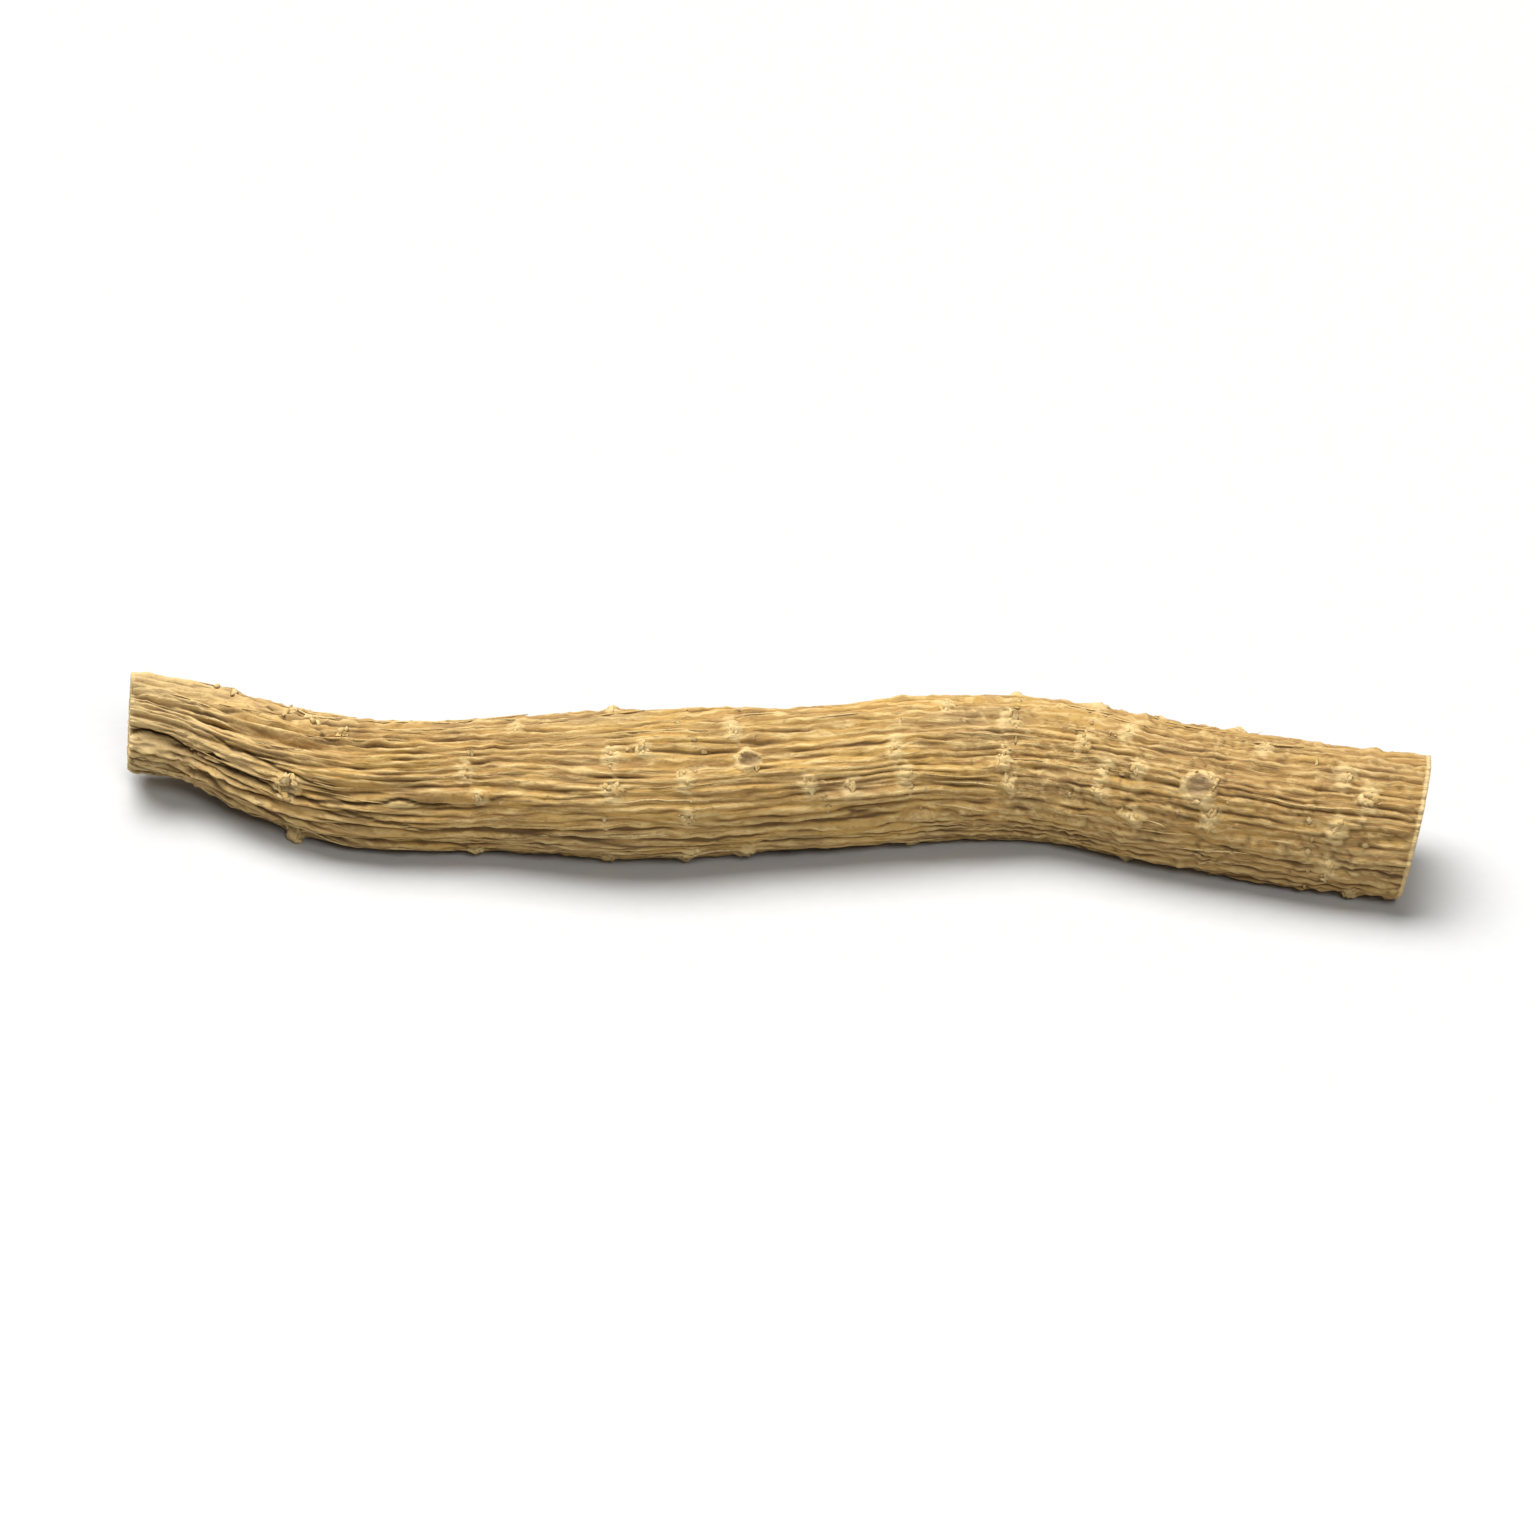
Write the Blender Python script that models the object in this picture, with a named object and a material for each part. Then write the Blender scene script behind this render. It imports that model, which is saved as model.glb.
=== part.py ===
"""One cut length of dried achyranthes root, lying on a table.

The root grew as one piece, so it is one solid: a thin end on the left (-X), a thick end on the right (+X),
wrinkled bark with rows of lenticels, rootlet scars and knobs, and a knife cut at each end.
Metres, +Z up, origin at the bottom centre of the root's box.
"""

import math
import random

import bmesh
import bpy
from mathutils import Vector, noise

MM = 0.001
SEED = 7

# How the root runs, in millimetres: distance from the thin end, place sideways (+ is away from the viewer),
# clearance between the root and the table, and thickness.
COURSE = (
    (0.0, 0.1, 2.0, 6.3),
    (5.0, -0.1, 1.4, 6.1),
    (11.0, -2.3, 0.65, 7.1),
    (17.0, -3.65, 0.1, 8.0),
    (25.0, -2.95, 0.05, 8.5),
    (35.0, -2.45, 0.25, 9.5),
    (46.0, 0.1, 0.35, 8.9),
    (55.0, 2.85, 0.1, 9.3),
    (63.0, 4.0, 0.0, 9.2),
    (72.0, 2.3, 0.2, 9.2),
    (80.0, 1.05, 0.1, 9.4),
    (88.0, 0.45, 0.0, 9.4),
)
LENGTH_MM = COURSE[-1][0]

# The knife cuts: outward normals of the two end faces, and how far in from a cut its slant still shows.
THIN_CUT_NORMAL = Vector((-0.977, -0.198, 0.085))
THICK_CUT_NORMAL = Vector((0.980, 0.028, -0.195))
SLANT_REACH_MM = 6.0

# Rings of the cut faces, from rim to middle: share of the radius, and depth below the cut in millimetres.
# The bark stands proud, the cambium behind it has shrunk to a groove, and the pith has sunk.
CUT_RINGS = ((0.93, 0.0), (0.80, 0.16), (0.74, 0.02), (0.42, 0.0), (0.14, 0.05))
PITH_DEPTH_MM = 0.3

# Section: lobes round the root, as number of lobes, share of the radius, turn at the thin end, turn per mm.
LOBES = ((2, 0.030, 0.6, 0.020), (3, 0.022, 2.1, -0.031), (5, 0.012, 4.0, 0.046))

# Long folds of the shrunken bark, which wander round the root as they run along it. Swells and wrinkles are
# noise: how far it runs, how wide it is, and how high it stands, in millimetres.
SWELL = (16.0, 4.0, 0.30)
WRINKLES = (9.0, 1.2, 0.6)
GRAIN_RADIUS_MM = 4.5
FOLDS_ROUND = 16
FOLD_HEIGHT_MM = 0.46
FOLD_WANDER = (13.0, 3.2, 3.0)
FOLD_FADE = (8.0, 2.2, 0.9)
THIN_END_FOLDS = 0.3
THIN_END_REACH_MM = 15.0
MEAN_CREST = 0.64
MEAN_WRINKLE = 0.2

# Rows of lenticels across the root: distance from the thin end, and height of the low welt that joins them.
LENTICEL_ROWS = (
    (24.6, 0.08),
    (33.9, 0.08),
    (38.8, 0.11),
    (42.6, 0.11),
    (47.2, 0.06),
    (53.2, 0.11),
    (60.5, 0.13),
    (65.9, 0.12),
    (69.4, 0.15),
    (75.0, 0.10),
    (81.3, 0.12),
    (84.5, 0.17),
)
WELT_HALF_WIDTH_MM = 0.55
WELT_WANDER_MM = 0.3

# A lenticel: half length along the root, half width across it, and height, in millimetres. Each differs a
# little in width and height, by these factors.
LENTICEL = (0.5, 0.62, 0.42)
WIDTH_FACTORS = (0.8, 1.3)
HEIGHT_FACTORS = (0.7, 1.1)

# Lenticels on the side away from the viewer: how many lie in each row, where round the root they lie, in
# degrees from its top towards the viewer, and how far they stray from the row.
LENTICELS_BEHIND = 5
BEHIND_DEGREES = (125, 335)
ROW_STRAY_MM = 0.25

# Lenticels on the side towards the viewer: distance from the thin end, and degrees round the root.
LENTICELS_IN_FRONT = (
    (24.2, 43),
    (25.4, 64),
    (27.8, -4),
    (34.2, 30),
    (34.2, 58),
    (36.0, 21),
    (38.5, 54),
    (38.6, 84),
    (41.8, 4),
    (46.4, 59),
    (48.9, 66),
    (52.2, 39),
    (52.6, 62),
    (55.8, -5),
    (59.8, 11),
    (59.8, 46),
    (60.2, 72),
    (66.0, 25),
    (67.8, 66),
    (68.0, 49),
    (68.6, 8),
    (70.2, 43),
    (70.4, 82),
    (75.2, 74),
    (77.6, 0),
    (83.2, 20),
    (84.8, 33),
    (83.2, 67),
    (83.0, 102),
)

# Rootlet scars, each a raised collar round a sunken middle: distance, degrees, and the collar's radius and
# height. The collar's half width and the pit's radius and depth are shares of these.
SCARS = (
    (13.2, 70, 0.6, 0.40),
    (42.6, 36, 0.6, 0.32),
    (74.2, 50, 0.85, 0.36),
    (30.4, 205, 0.65, 0.34),
    (57.5, 250, 0.9, 0.38),
)
COLLAR_HALF_WIDTH = 0.67
PIT_RADIUS = 0.9
PIT_DEPTH = 0.8


# Knobs and the broken rootlet: distance, degrees, half length, half width and height.
KNOBS = (
    (6.2, -33, 0.55, 0.5, 0.40),
    (11.4, -18, 0.75, 0.6, 0.62),
    (12.9, -14, 0.6, 0.5, 0.50),
    (15.8, 5, 0.55, 0.5, 0.40),
    (13.2, 143, 0.55, 0.42, 1.05),
    (69.2, -22, 0.6, 0.5, 0.42),
    (20.5, 236, 0.8, 0.6, 0.45),
    (48.5, 178, 0.6, 0.5, 0.30),
)
MOUND_FOOT = 1.6

# Mesh: sides round the root, and the spacing of its rings, in millimetres.
AROUND = 60
RING_GAP_MM = 2.4
CLOSEST_RINGS_MM = 0.44
FEATURE_RING_MM = 0.55
TANGENT_STEP_MM = 0.05

# Rest: the three stretches of the underside that touch the table, in millimetres from the thin end. The
# lowest points of each are brought level, and what lies lower than this height above them is worn flat.
FEET_MM = ((15.0, 24.0), (56.0, 67.0), (80.0, 87.5))
FOOT_POINTS = 16
SETTLING_STEPS = 6
FLAT_DEPTH_MM = 0.22

BARK_COLOR = (0.52, 0.36, 0.17, 1.0)
BARK_ROUGHNESS = 0.85
SHARP_ANGLE = math.radians(50)


def course_at(distance, column):
    """One column of COURSE at a distance from the thin end, on a smooth curve through its rows."""
    rows = [(row[0], row[column]) for row in COURSE]
    at = max(1, next((i for i, row in enumerate(rows) if row[0] >= distance), len(rows) - 1))
    (x0, y0), (x1, y1) = rows[at - 1], rows[at]

    def slope(i):
        before, after = rows[max(i - 1, 0)], rows[min(i + 1, len(rows) - 1)]
        return (after[1] - before[1]) / (after[0] - before[0])

    span = x1 - x0
    t = (distance - x0) / span
    return (
        y0 * (1 + 2 * t) * (1 - t) ** 2
        + y1 * t * t * (3 - 2 * t)
        + span * (slope(at - 1) * t * (1 - t) ** 2 - slope(at) * t * t * (1 - t))
    )


def grain(distance, angle, run, width):
    """Noise drawn out along the root. It is read on a cylinder, so it closes on itself round the root."""
    across = GRAIN_RADIUS_MM / width
    along = distance / run + width * 10
    return noise.noise(Vector((along, across * math.cos(angle), across * math.sin(angle))))


def turn_between(angle, other):
    """The signed angle from one direction round the root to another, in radians."""
    return (angle - other + math.pi) % (2 * math.pi) - math.pi


def column_near(degrees):
    """The angle of the mesh column nearest to a direction round the root, so that a mark peaks on it."""
    return round(degrees / 360 * AROUND) * 2 * math.pi / AROUND


def lenticels():
    """Distance, angle, half length, half width and height of each lenticel. Those behind are random."""
    draw = random.Random(SEED)
    spots = list(LENTICELS_IN_FRONT)
    for at, _ in LENTICEL_ROWS:
        for _ in range(LENTICELS_BEHIND):
            spots.append((at + draw.uniform(-ROW_STRAY_MM, ROW_STRAY_MM), draw.uniform(*BEHIND_DEGREES)))
    mounds = []
    for distance, degrees in spots:
        half_length, half_width, height = LENTICEL
        half_width *= draw.uniform(*WIDTH_FACTORS)
        height *= draw.uniform(*HEIGHT_FACTORS)
        mounds.append((distance, column_near(degrees), half_length, half_width, height))
    return mounds


def knobs():
    return [(at, column_near(degrees), *size) for at, degrees, *size in KNOBS]


def bump(away, height):
    """A rounded mound: full height in the middle, nothing from 1 outwards."""
    return height * (1 - away * away) ** 2 if abs(away) < 1 else 0.0


def mound_lift(distance, angle, radius, mound):
    """How far one lenticel or knob lifts the bark here."""
    at, towards, half_length, half_width, height = mound
    across = turn_between(angle, towards) * radius
    away = math.hypot((distance - at) / half_length, across / half_width)
    return bump(away / MOUND_FOOT, height)


def scar_lift(distance, angle, radius, scar):
    """How far the collar of one scar lifts the bark here, less the depth of its pit."""
    at, degrees, size, height = scar
    across = turn_between(angle, column_near(degrees)) * radius
    away = math.hypot(distance - at, across) / size
    return bump((away - 1) / COLLAR_HALF_WIDTH, height) - bump(away / PIT_RADIUS, height * PIT_DEPTH)


def welt_lift(distance, angle, row):
    """How far the welt along one row of lenticels lifts the bark here. It wanders a little from its row."""
    at, height = row
    wander = WELT_WANDER_MM * noise.noise(Vector((at, math.cos(angle), math.sin(angle))))
    return bump((distance - at - wander) / WELT_HALF_WIDTH_MM, height)


def raised_marks(distance, angle, radius, mounds):
    """How far lenticels, knobs, scars and welts lift the bark at one place, in millimetres."""
    lift = sum(mound_lift(distance, angle, radius, mound) for mound in mounds)
    lift += sum(scar_lift(distance, angle, radius, scar) for scar in SCARS)
    return lift + sum(welt_lift(distance, angle, row) for row in LENTICEL_ROWS)


def folds(distance, angle):
    """Height of the long folds: round crests with narrow furrows between them, deepest at the thin end."""
    wander = grain(distance, angle, *FOLD_WANDER[:2]) * FOLD_WANDER[2]
    strength = 1.0 + grain(distance, angle, *FOLD_FADE[:2]) * FOLD_FADE[2]
    strength += THIN_END_FOLDS * math.exp(-((distance / THIN_END_REACH_MM) ** 2))
    crest = abs(math.sin(FOLDS_ROUND / 2 * angle + wander))
    return (crest - MEAN_CREST) * FOLD_HEIGHT_MM * max(strength, 0.0)


def bark_radius(distance, angle, mounds):
    """Distance from the centreline to the bark, in millimetres."""
    radius = course_at(distance, 3) / 2
    lobes = sum(share * math.cos(n * angle + turn + twist * distance) for n, share, turn, twist in LOBES)
    swell = grain(distance, angle, *SWELL[:2]) * SWELL[2]
    wrinkles = (abs(grain(distance, angle, *WRINKLES[:2])) - MEAN_WRINKLE) * WRINKLES[2]
    shrunken = swell + folds(distance, angle) + wrinkles
    return radius * (1 + lobes) + shrunken + raised_marks(distance, angle, radius, mounds)


def ring_places():
    """Distances of the mesh's rings: through and beside each mark, and never far apart between them."""
    wanted = set()
    for at in [row[0] for row in LENTICEL_ROWS + KNOBS]:
        wanted |= {at - FEATURE_RING_MM, at, at + FEATURE_RING_MM}
    for at, _, size, _ in SCARS:
        wanted |= {at - size, at - size / 2, at, at + size / 2, at + size}
    places = [0.0]
    last_inner = LENGTH_MM - CLOSEST_RINGS_MM
    for place in sorted(p for p in wanted if 0 < p < last_inner) + [LENGTH_MM]:
        gap = place - places[-1]
        if gap < CLOSEST_RINGS_MM:
            continue
        steps = math.ceil(gap / RING_GAP_MM)
        places += [places[-1] + gap * (i + 1) / steps for i in range(steps)]
    return places


def centre_at(distance):
    """The centreline's point at a distance from the thin end, in millimetres."""
    return Vector((distance, course_at(distance, 1), course_at(distance, 2) + course_at(distance, 3) / 2))


def cut_slant(distance, offset):
    """How far a point this far off the centreline moves along the root, so that the ends lie on the cuts."""
    shift = 0.0
    for away, normal in ((distance, THIN_CUT_NORMAL), (LENGTH_MM - distance, THICK_CUT_NORMAL)):
        fade = max(0.0, 1 - away / SLANT_REACH_MM)
        shift -= fade * normal.dot(offset) / normal.x
    return shift


def across_directions(distance):
    """The two directions square to the centreline: upwards, and towards the viewer."""
    ahead = min(distance + TANGENT_STEP_MM, LENGTH_MM)
    behind = max(distance - TANGENT_STEP_MM, 0.0)
    along = (centre_at(ahead) - centre_at(behind)).normalized()
    up = (Vector((0, 0, 1)) - along * along.z).normalized()
    return up, along.cross(up)


def ring_points(distance, mounds, share=1.0, depth=0.0):
    """The points of one ring. A share below 1 gives a ring on a cut face, pushed in by depth."""
    up, towards_viewer = across_directions(distance)
    inward = depth if distance < LENGTH_MM / 2 else -depth
    points = []
    for i in range(AROUND):
        angle = 2 * math.pi * i / AROUND
        direction = up * math.cos(angle) + towards_viewer * math.sin(angle)
        offset = direction * bark_radius(distance, angle, mounds) * share
        offset.x += cut_slant(distance, offset) + inward
        points.append(centre_at(distance) + offset)
    return points


def foot(points, places, start, end):
    """The middle of the lowest points on one stretch of the root."""
    stretch = [p for p, place in zip(points, places) if start <= place <= end]
    lowest = sorted(stretch, key=lambda p: p.z)[:FOOT_POINTS]
    return sum(lowest, Vector()) / FOOT_POINTS


def settle(points, ring_distances):
    """Lowers and tilts the root until its three feet are level, and wears them flat at height 0."""
    places = [distance for distance in ring_distances for _ in range(AROUND)]
    for _ in range(SETTLING_STEPS):
        feet = [foot(points, places, start, end) for start, end in FEET_MM]
        normal = (feet[1] - feet[0]).cross(feet[2] - feet[0])
        for p in points:
            p.z += (normal.x * (p.x - feet[0].x) + normal.y * (p.y - feet[0].y)) / normal.z - feet[0].z
    for p in points:
        p.z = max(p.z - FLAT_DEPTH_MM, 0.0)


def middle_of(points):
    """The middle of the points' box, at height 0."""
    xs, ys = [p.x for p in points], [p.y for p in points]
    return Vector(((min(xs) + max(xs)) / 2, (min(ys) + max(ys)) / 2, 0))


def bridge(bm, ring, next_ring):
    for i in range(AROUND):
        j = (i + 1) % AROUND
        bm.faces.new((ring[i], ring[j], next_ring[j], next_ring[i]))


def root_rings():
    """Distance, share of the radius and depth of every ring, from one cut face to the other."""
    thin_cut = [(0.0, share, depth) for share, depth in reversed(CUT_RINGS)]
    thick_cut = [(LENGTH_MM, share, depth) for share, depth in CUT_RINGS]
    return thin_cut + [(place, 1.0, 0.0) for place in ring_places()] + thick_cut


def root_points(rings):
    """Every ring's points, then the middle of each cut face, all settled on the table."""
    mounds = lenticels() + knobs()
    points = []
    for distance, share, depth in rings:
        points += ring_points(distance, mounds, share, depth)
    points.append(centre_at(0.0) + Vector((PITH_DEPTH_MM, 0, 0)))
    points.append(centre_at(LENGTH_MM) - Vector((PITH_DEPTH_MM, 0, 0)))
    settle(points, [ring[0] for ring in rings])
    return points


def build_root():
    rings = root_rings()
    points = root_points(rings)
    middle = middle_of(points)
    bm = bmesh.new()
    verts = [bm.verts.new((p - middle) * MM) for p in points]
    loops = [verts[i * AROUND : (i + 1) * AROUND] for i in range(len(rings))]
    for ring, next_ring in zip(loops, loops[1:]):
        bridge(bm, ring, next_ring)
    for i in range(AROUND):
        j = (i + 1) % AROUND
        bm.faces.new((verts[-2], loops[0][j], loops[0][i]))
        bm.faces.new((verts[-1], loops[-1][i], loops[-1][j]))
    bmesh.ops.recalc_face_normals(bm, faces=bm.faces)
    mesh = bpy.data.meshes.new("achyranthes_root")
    bm.to_mesh(mesh)
    bm.free()
    return mesh


def bark_material():
    material = bpy.data.materials.new("dried bark")
    material.use_nodes = True
    bark = material.node_tree.nodes["Principled BSDF"]
    bark.inputs["Base Color"].default_value = BARK_COLOR
    bark.inputs["Roughness"].default_value = BARK_ROUGHNESS
    bark.inputs["Metallic"].default_value = 0.0
    return material


for old in list(bpy.data.objects):
    bpy.data.objects.remove(old)

root = bpy.data.objects.new("achyranthes_root", build_root())
root.data.materials.append(bark_material())
root.data.shade_smooth()
root.data.set_sharp_from_angle(angle=SHARP_ANGLE)
bpy.context.scene.collection.objects.link(root)
print(len(root.data.polygons), "faces")
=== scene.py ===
# %% [markdown]
# # A cut length of dried achyranthes root
#
# Achyranthes root is dug in autumn, dried whole and cut to lengths. Drying shrinks it by more than half, so its
# thin bark folds into long wrinkles. Corky pores, the lenticels, stay pale and proud in rows across it, and each
# rootlet that broke off leaves a small round scar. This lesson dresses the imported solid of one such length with
# the fine surface that a solid can't carry: wrinkles a few tenths of a millimetre wide, crumbly cork, torn fibres
# and the cut faces with their dots of sap vessels.
#
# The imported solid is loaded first, because everything else is measured from it.

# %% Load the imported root
import math
import random

import bmesh
import bpy
import numpy as np
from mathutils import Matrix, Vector, noise


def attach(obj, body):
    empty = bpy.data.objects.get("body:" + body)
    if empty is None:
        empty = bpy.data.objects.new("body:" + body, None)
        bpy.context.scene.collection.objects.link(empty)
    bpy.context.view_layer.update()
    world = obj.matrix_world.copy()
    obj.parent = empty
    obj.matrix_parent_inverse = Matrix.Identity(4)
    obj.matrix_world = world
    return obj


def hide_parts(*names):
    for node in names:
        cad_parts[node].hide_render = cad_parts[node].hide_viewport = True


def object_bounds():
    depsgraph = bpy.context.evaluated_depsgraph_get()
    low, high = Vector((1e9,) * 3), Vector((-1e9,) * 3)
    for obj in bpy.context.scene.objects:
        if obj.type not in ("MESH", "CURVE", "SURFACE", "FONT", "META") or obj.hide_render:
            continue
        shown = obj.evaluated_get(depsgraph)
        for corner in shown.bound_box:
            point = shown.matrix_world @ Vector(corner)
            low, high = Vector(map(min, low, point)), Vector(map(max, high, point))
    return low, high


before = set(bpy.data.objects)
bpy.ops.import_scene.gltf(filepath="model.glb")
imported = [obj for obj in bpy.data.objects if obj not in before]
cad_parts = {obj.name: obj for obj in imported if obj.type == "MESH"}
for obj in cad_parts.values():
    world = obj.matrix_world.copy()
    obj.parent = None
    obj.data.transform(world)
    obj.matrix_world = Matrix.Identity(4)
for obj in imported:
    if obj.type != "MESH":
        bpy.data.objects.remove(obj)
solid_low, solid_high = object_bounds()
print("solid, mm:", [round(1000 * side, 2) for side in solid_high - solid_low])

# %% [markdown]
# ## How the root runs
#
# The root is described in its own millimetres: how far along it a place is, where its centreline lies there, and
# how thick it is. A table of twelve stations is enough, because a dried root bends slowly. A smooth curve runs
# through them. The same values shaped the solid, so the fine surface follows it everywhere.

# %% Stations along the root: distance, sideways, clearance below, thickness
MM = 0.001
COURSE = (
    (0.0, 0.1, 2.0, 6.3), (5.0, -0.1, 1.4, 6.1), (11.0, -2.3, 0.65, 7.1), (17.0, -3.65, 0.1, 8.0),
    (25.0, -2.95, 0.05, 8.5), (35.0, -2.45, 0.25, 9.5), (46.0, 0.1, 0.35, 8.9), (55.0, 2.85, 0.1, 9.3),
    (63.0, 4.0, 0.0, 9.2), (72.0, 2.3, 0.2, 9.2), (80.0, 1.05, 0.1, 9.4), (88.0, 0.45, 0.0, 9.4),
)
LENGTH = COURSE[-1][0]
SIDEWAYS, CLEARANCE, THICKNESS = 1, 2, 3


def course_at(distance, column):
    """One column of COURSE at these distances from the thin end, on a smooth curve through its rows."""
    at = np.array([row[0] for row in COURSE])
    value = np.array([row[column] for row in COURSE])
    slope = np.gradient(value, at)
    slope[1:-1] = (value[2:] - value[:-2]) / (at[2:] - at[:-2])
    i = np.clip(np.searchsorted(at, distance), 1, len(at) - 1)
    span = at[i] - at[i - 1]
    t = (distance - at[i - 1]) / span
    ends = value[i - 1] * (1 + 2 * t) * (1 - t) ** 2 + value[i] * t * t * (3 - 2 * t)
    return ends + span * (slope[i - 1] * t * (1 - t) ** 2 - slope[i] * t * t * (1 - t))


def mean_radius_at(distance):
    return course_at(distance, THICKNESS) / 2


def centre_at(distance):
    """The centreline at these distances, one row of x, y and z each."""
    height = course_at(distance, CLEARANCE) + mean_radius_at(distance)
    return np.stack([distance, course_at(distance, SIDEWAYS), height], axis=-1)


print("thickest, mm:", round(2 * float(mean_radius_at(np.linspace(0, LENGTH, 200)).max()), 2))

# %% [markdown]
# ## Noise that is drawn out along the root
#
# Everything in bark runs lengthwise: fibres, folds and cracks. Noise read on a cylinder, and stretched along its
# axis, gives that grain and still meets itself round the back of the root, where noise on a flat sheet would
# leave a seam. Knobs, collars and furrows are drawn with two plain curves, a mound and a soft fall-off.

# %% Grain, mounds and fall-offs
GRAIN_RADIUS = 4.5


def noise_at(x, y, z):
    return np.array([noise.noise(place) for place in zip(x, y, z)])


def grain(distance, angle, run, width):
    """Noise that runs this far along the root and is this wide across it, in millimetres."""
    across = GRAIN_RADIUS / width
    return noise_at(distance / run + width * 10, across * np.cos(angle), across * np.sin(angle))


def grains(distance, angle, layers):
    """Layers of grain, each with its run, width and strength, added up."""
    return sum(grain(distance, angle, run, width) * strength for run, width, strength in layers)


def crumb(distance, angle, radius, size):
    """Crumbly noise that is as long as it is wide."""
    return noise_at(distance / size, radius * np.cos(angle) / size, radius * np.sin(angle) / size)


def bump(away, height):
    """A rounded mound: full height in the middle, nothing from 1 outwards."""
    return np.where(np.abs(away) < 1, height * (1 - away * away) ** 2, 0.0)


def fall_off(away, reach):
    """1 in the middle, and fading softly to nothing about twice this reach away."""
    return np.exp(-((away / reach) ** 2))


def clamp(value, top=1):
    return np.clip(value, 0, top)


def turn_between(angle, other):
    """The signed angle between directions round the root, in radians."""
    return (angle - other + math.pi) % (2 * math.pi) - math.pi


print("grain along a fibre:", np.round(grain(np.arange(4.0), np.zeros(4), 2.0, 1.0), 2))

# %% [markdown]
# ## The marks on the bark
#
# Three kinds of mark stand on the bark, and all are listed as the solid has them: where along the root, and how
# far round from its top towards the viewer. Lenticels lie in rows on low welts. Scars are collars round a sunken
# middle, left where a rootlet dropped, some healed almost level. Knobs are what is left where one broke.

# %% Lenticels, scars and knobs
SEED = 7
MARK_STEP = math.radians(6)
LENTICEL_ROWS = (
    (24.6, 0.08), (33.9, 0.08), (38.8, 0.11), (42.6, 0.11), (47.2, 0.06), (53.2, 0.11),
    (60.5, 0.13), (65.9, 0.12), (69.4, 0.15), (75.0, 0.10), (81.3, 0.12), (84.5, 0.17),
)
WELT_HALF_WIDTH = 0.55
WELT_WANDER = 0.3
LENTICEL = (0.5, 0.62, 0.42)
WIDTH_FACTORS = (0.8, 1.3)
HEIGHT_FACTORS = (0.7, 1.1)
LENTICELS_BEHIND = 5
BEHIND_DEGREES = (125, 335)
ROW_STRAY = 0.25
LENTICELS_IN_FRONT = (
    (24.2, 43), (25.4, 64), (27.8, -4), (34.2, 30), (34.2, 58), (36.0, 21), (38.5, 54), (38.6, 84),
    (41.8, 4), (46.4, 59), (48.9, 66), (52.2, 39), (52.6, 62), (55.8, -5), (59.8, 11), (59.8, 46),
    (60.2, 72), (66.0, 25), (67.8, 66), (68.0, 49), (68.6, 8), (70.2, 43), (70.4, 82), (75.2, 74),
    (77.6, 0), (83.2, 20), (84.8, 33), (83.2, 67), (83.0, 102),
)
# Each scar: distance, degrees, collar radius, collar height, how open its pit is, how ragged its edge is
SCARS = (
    (13.2, 70, 0.6, 0.40, 0.1, 0.5),
    (42.6, 36, 0.6, 0.32, 0.6, 0.55),
    (74.2, 50, 0.85, 0.36, 0.2, 0.2),
    (30.4, 205, 0.65, 0.34, 0.7, 0.5),
    (57.5, 250, 0.9, 0.38, 0.5, 0.4),
)
COLLAR_HALF_WIDTH = 0.67
RIM_SHARE = 0.6
PIT_RADIUS = 0.9
PIT_WALL = 0.35
PIT_DEPTH = 0.8
# Each knob: distance, degrees, half length, half width, height
KNOBS = (
    (6.2, -33, 0.55, 0.5, 0.40), (11.4, -18, 0.75, 0.6, 0.62), (12.9, -14, 0.6, 0.5, 0.50),
    (15.8, 5, 0.55, 0.5, 0.40), (13.2, 143, 0.55, 0.42, 1.05), (69.2, -22, 0.6, 0.5, 0.42),
    (20.5, 236, 0.8, 0.6, 0.45), (48.5, 178, 0.6, 0.5, 0.30),
)
MOUND_FOOT = 1.6


def mark_angle(degrees):
    """A mark's direction round the root, on one of the solid's own columns."""
    return round(math.radians(degrees) / MARK_STEP) * MARK_STEP


def lenticels():
    """Distance, angle, half length, half width and height of each lenticel. Those behind are random."""
    draw = random.Random(SEED)
    spots = list(LENTICELS_IN_FRONT)
    for at, _ in LENTICEL_ROWS:
        for _ in range(LENTICELS_BEHIND):
            spots.append((at + draw.uniform(-ROW_STRAY, ROW_STRAY), draw.uniform(*BEHIND_DEGREES)))
    mounds = []
    for distance, degrees in spots:
        half_length, half_width, height = LENTICEL
        half_width *= draw.uniform(*WIDTH_FACTORS)
        height *= draw.uniform(*HEIGHT_FACTORS)
        mounds.append((distance, mark_angle(degrees), half_length, half_width, height))
    return mounds


def mounds_lift(distance, angle, radius, mounds):
    """How far lenticels or knobs lift the bark."""
    lift = 0
    for at, towards, half_length, half_width, height in mounds:
        across = turn_between(angle, towards) * radius
        lift = lift + bump(np.hypot((distance - at) / half_length, across / half_width) / MOUND_FOOT, height)
    return lift


def scar_away(distance, angle, radius, scar):
    """How far each place is from one scar's middle, in collar radii."""
    at, degrees, size = scar[:3]
    return np.hypot(distance - at, turn_between(angle, mark_angle(degrees)) * radius) / size


def scar_lift(distance, angle, radius, scar):
    """How far the collar of one scar lifts the bark, less its flat-bottomed pit. A healed pit is shallower."""
    away = scar_away(distance, angle, radius, scar)
    height, hole = scar[3:5]
    rim = bump((away - 1) / COLLAR_HALF_WIDTH, height * RIM_SHARE)
    return rim - height * PIT_DEPTH * hole * clamp((PIT_RADIUS - away) / PIT_WALL)


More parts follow.
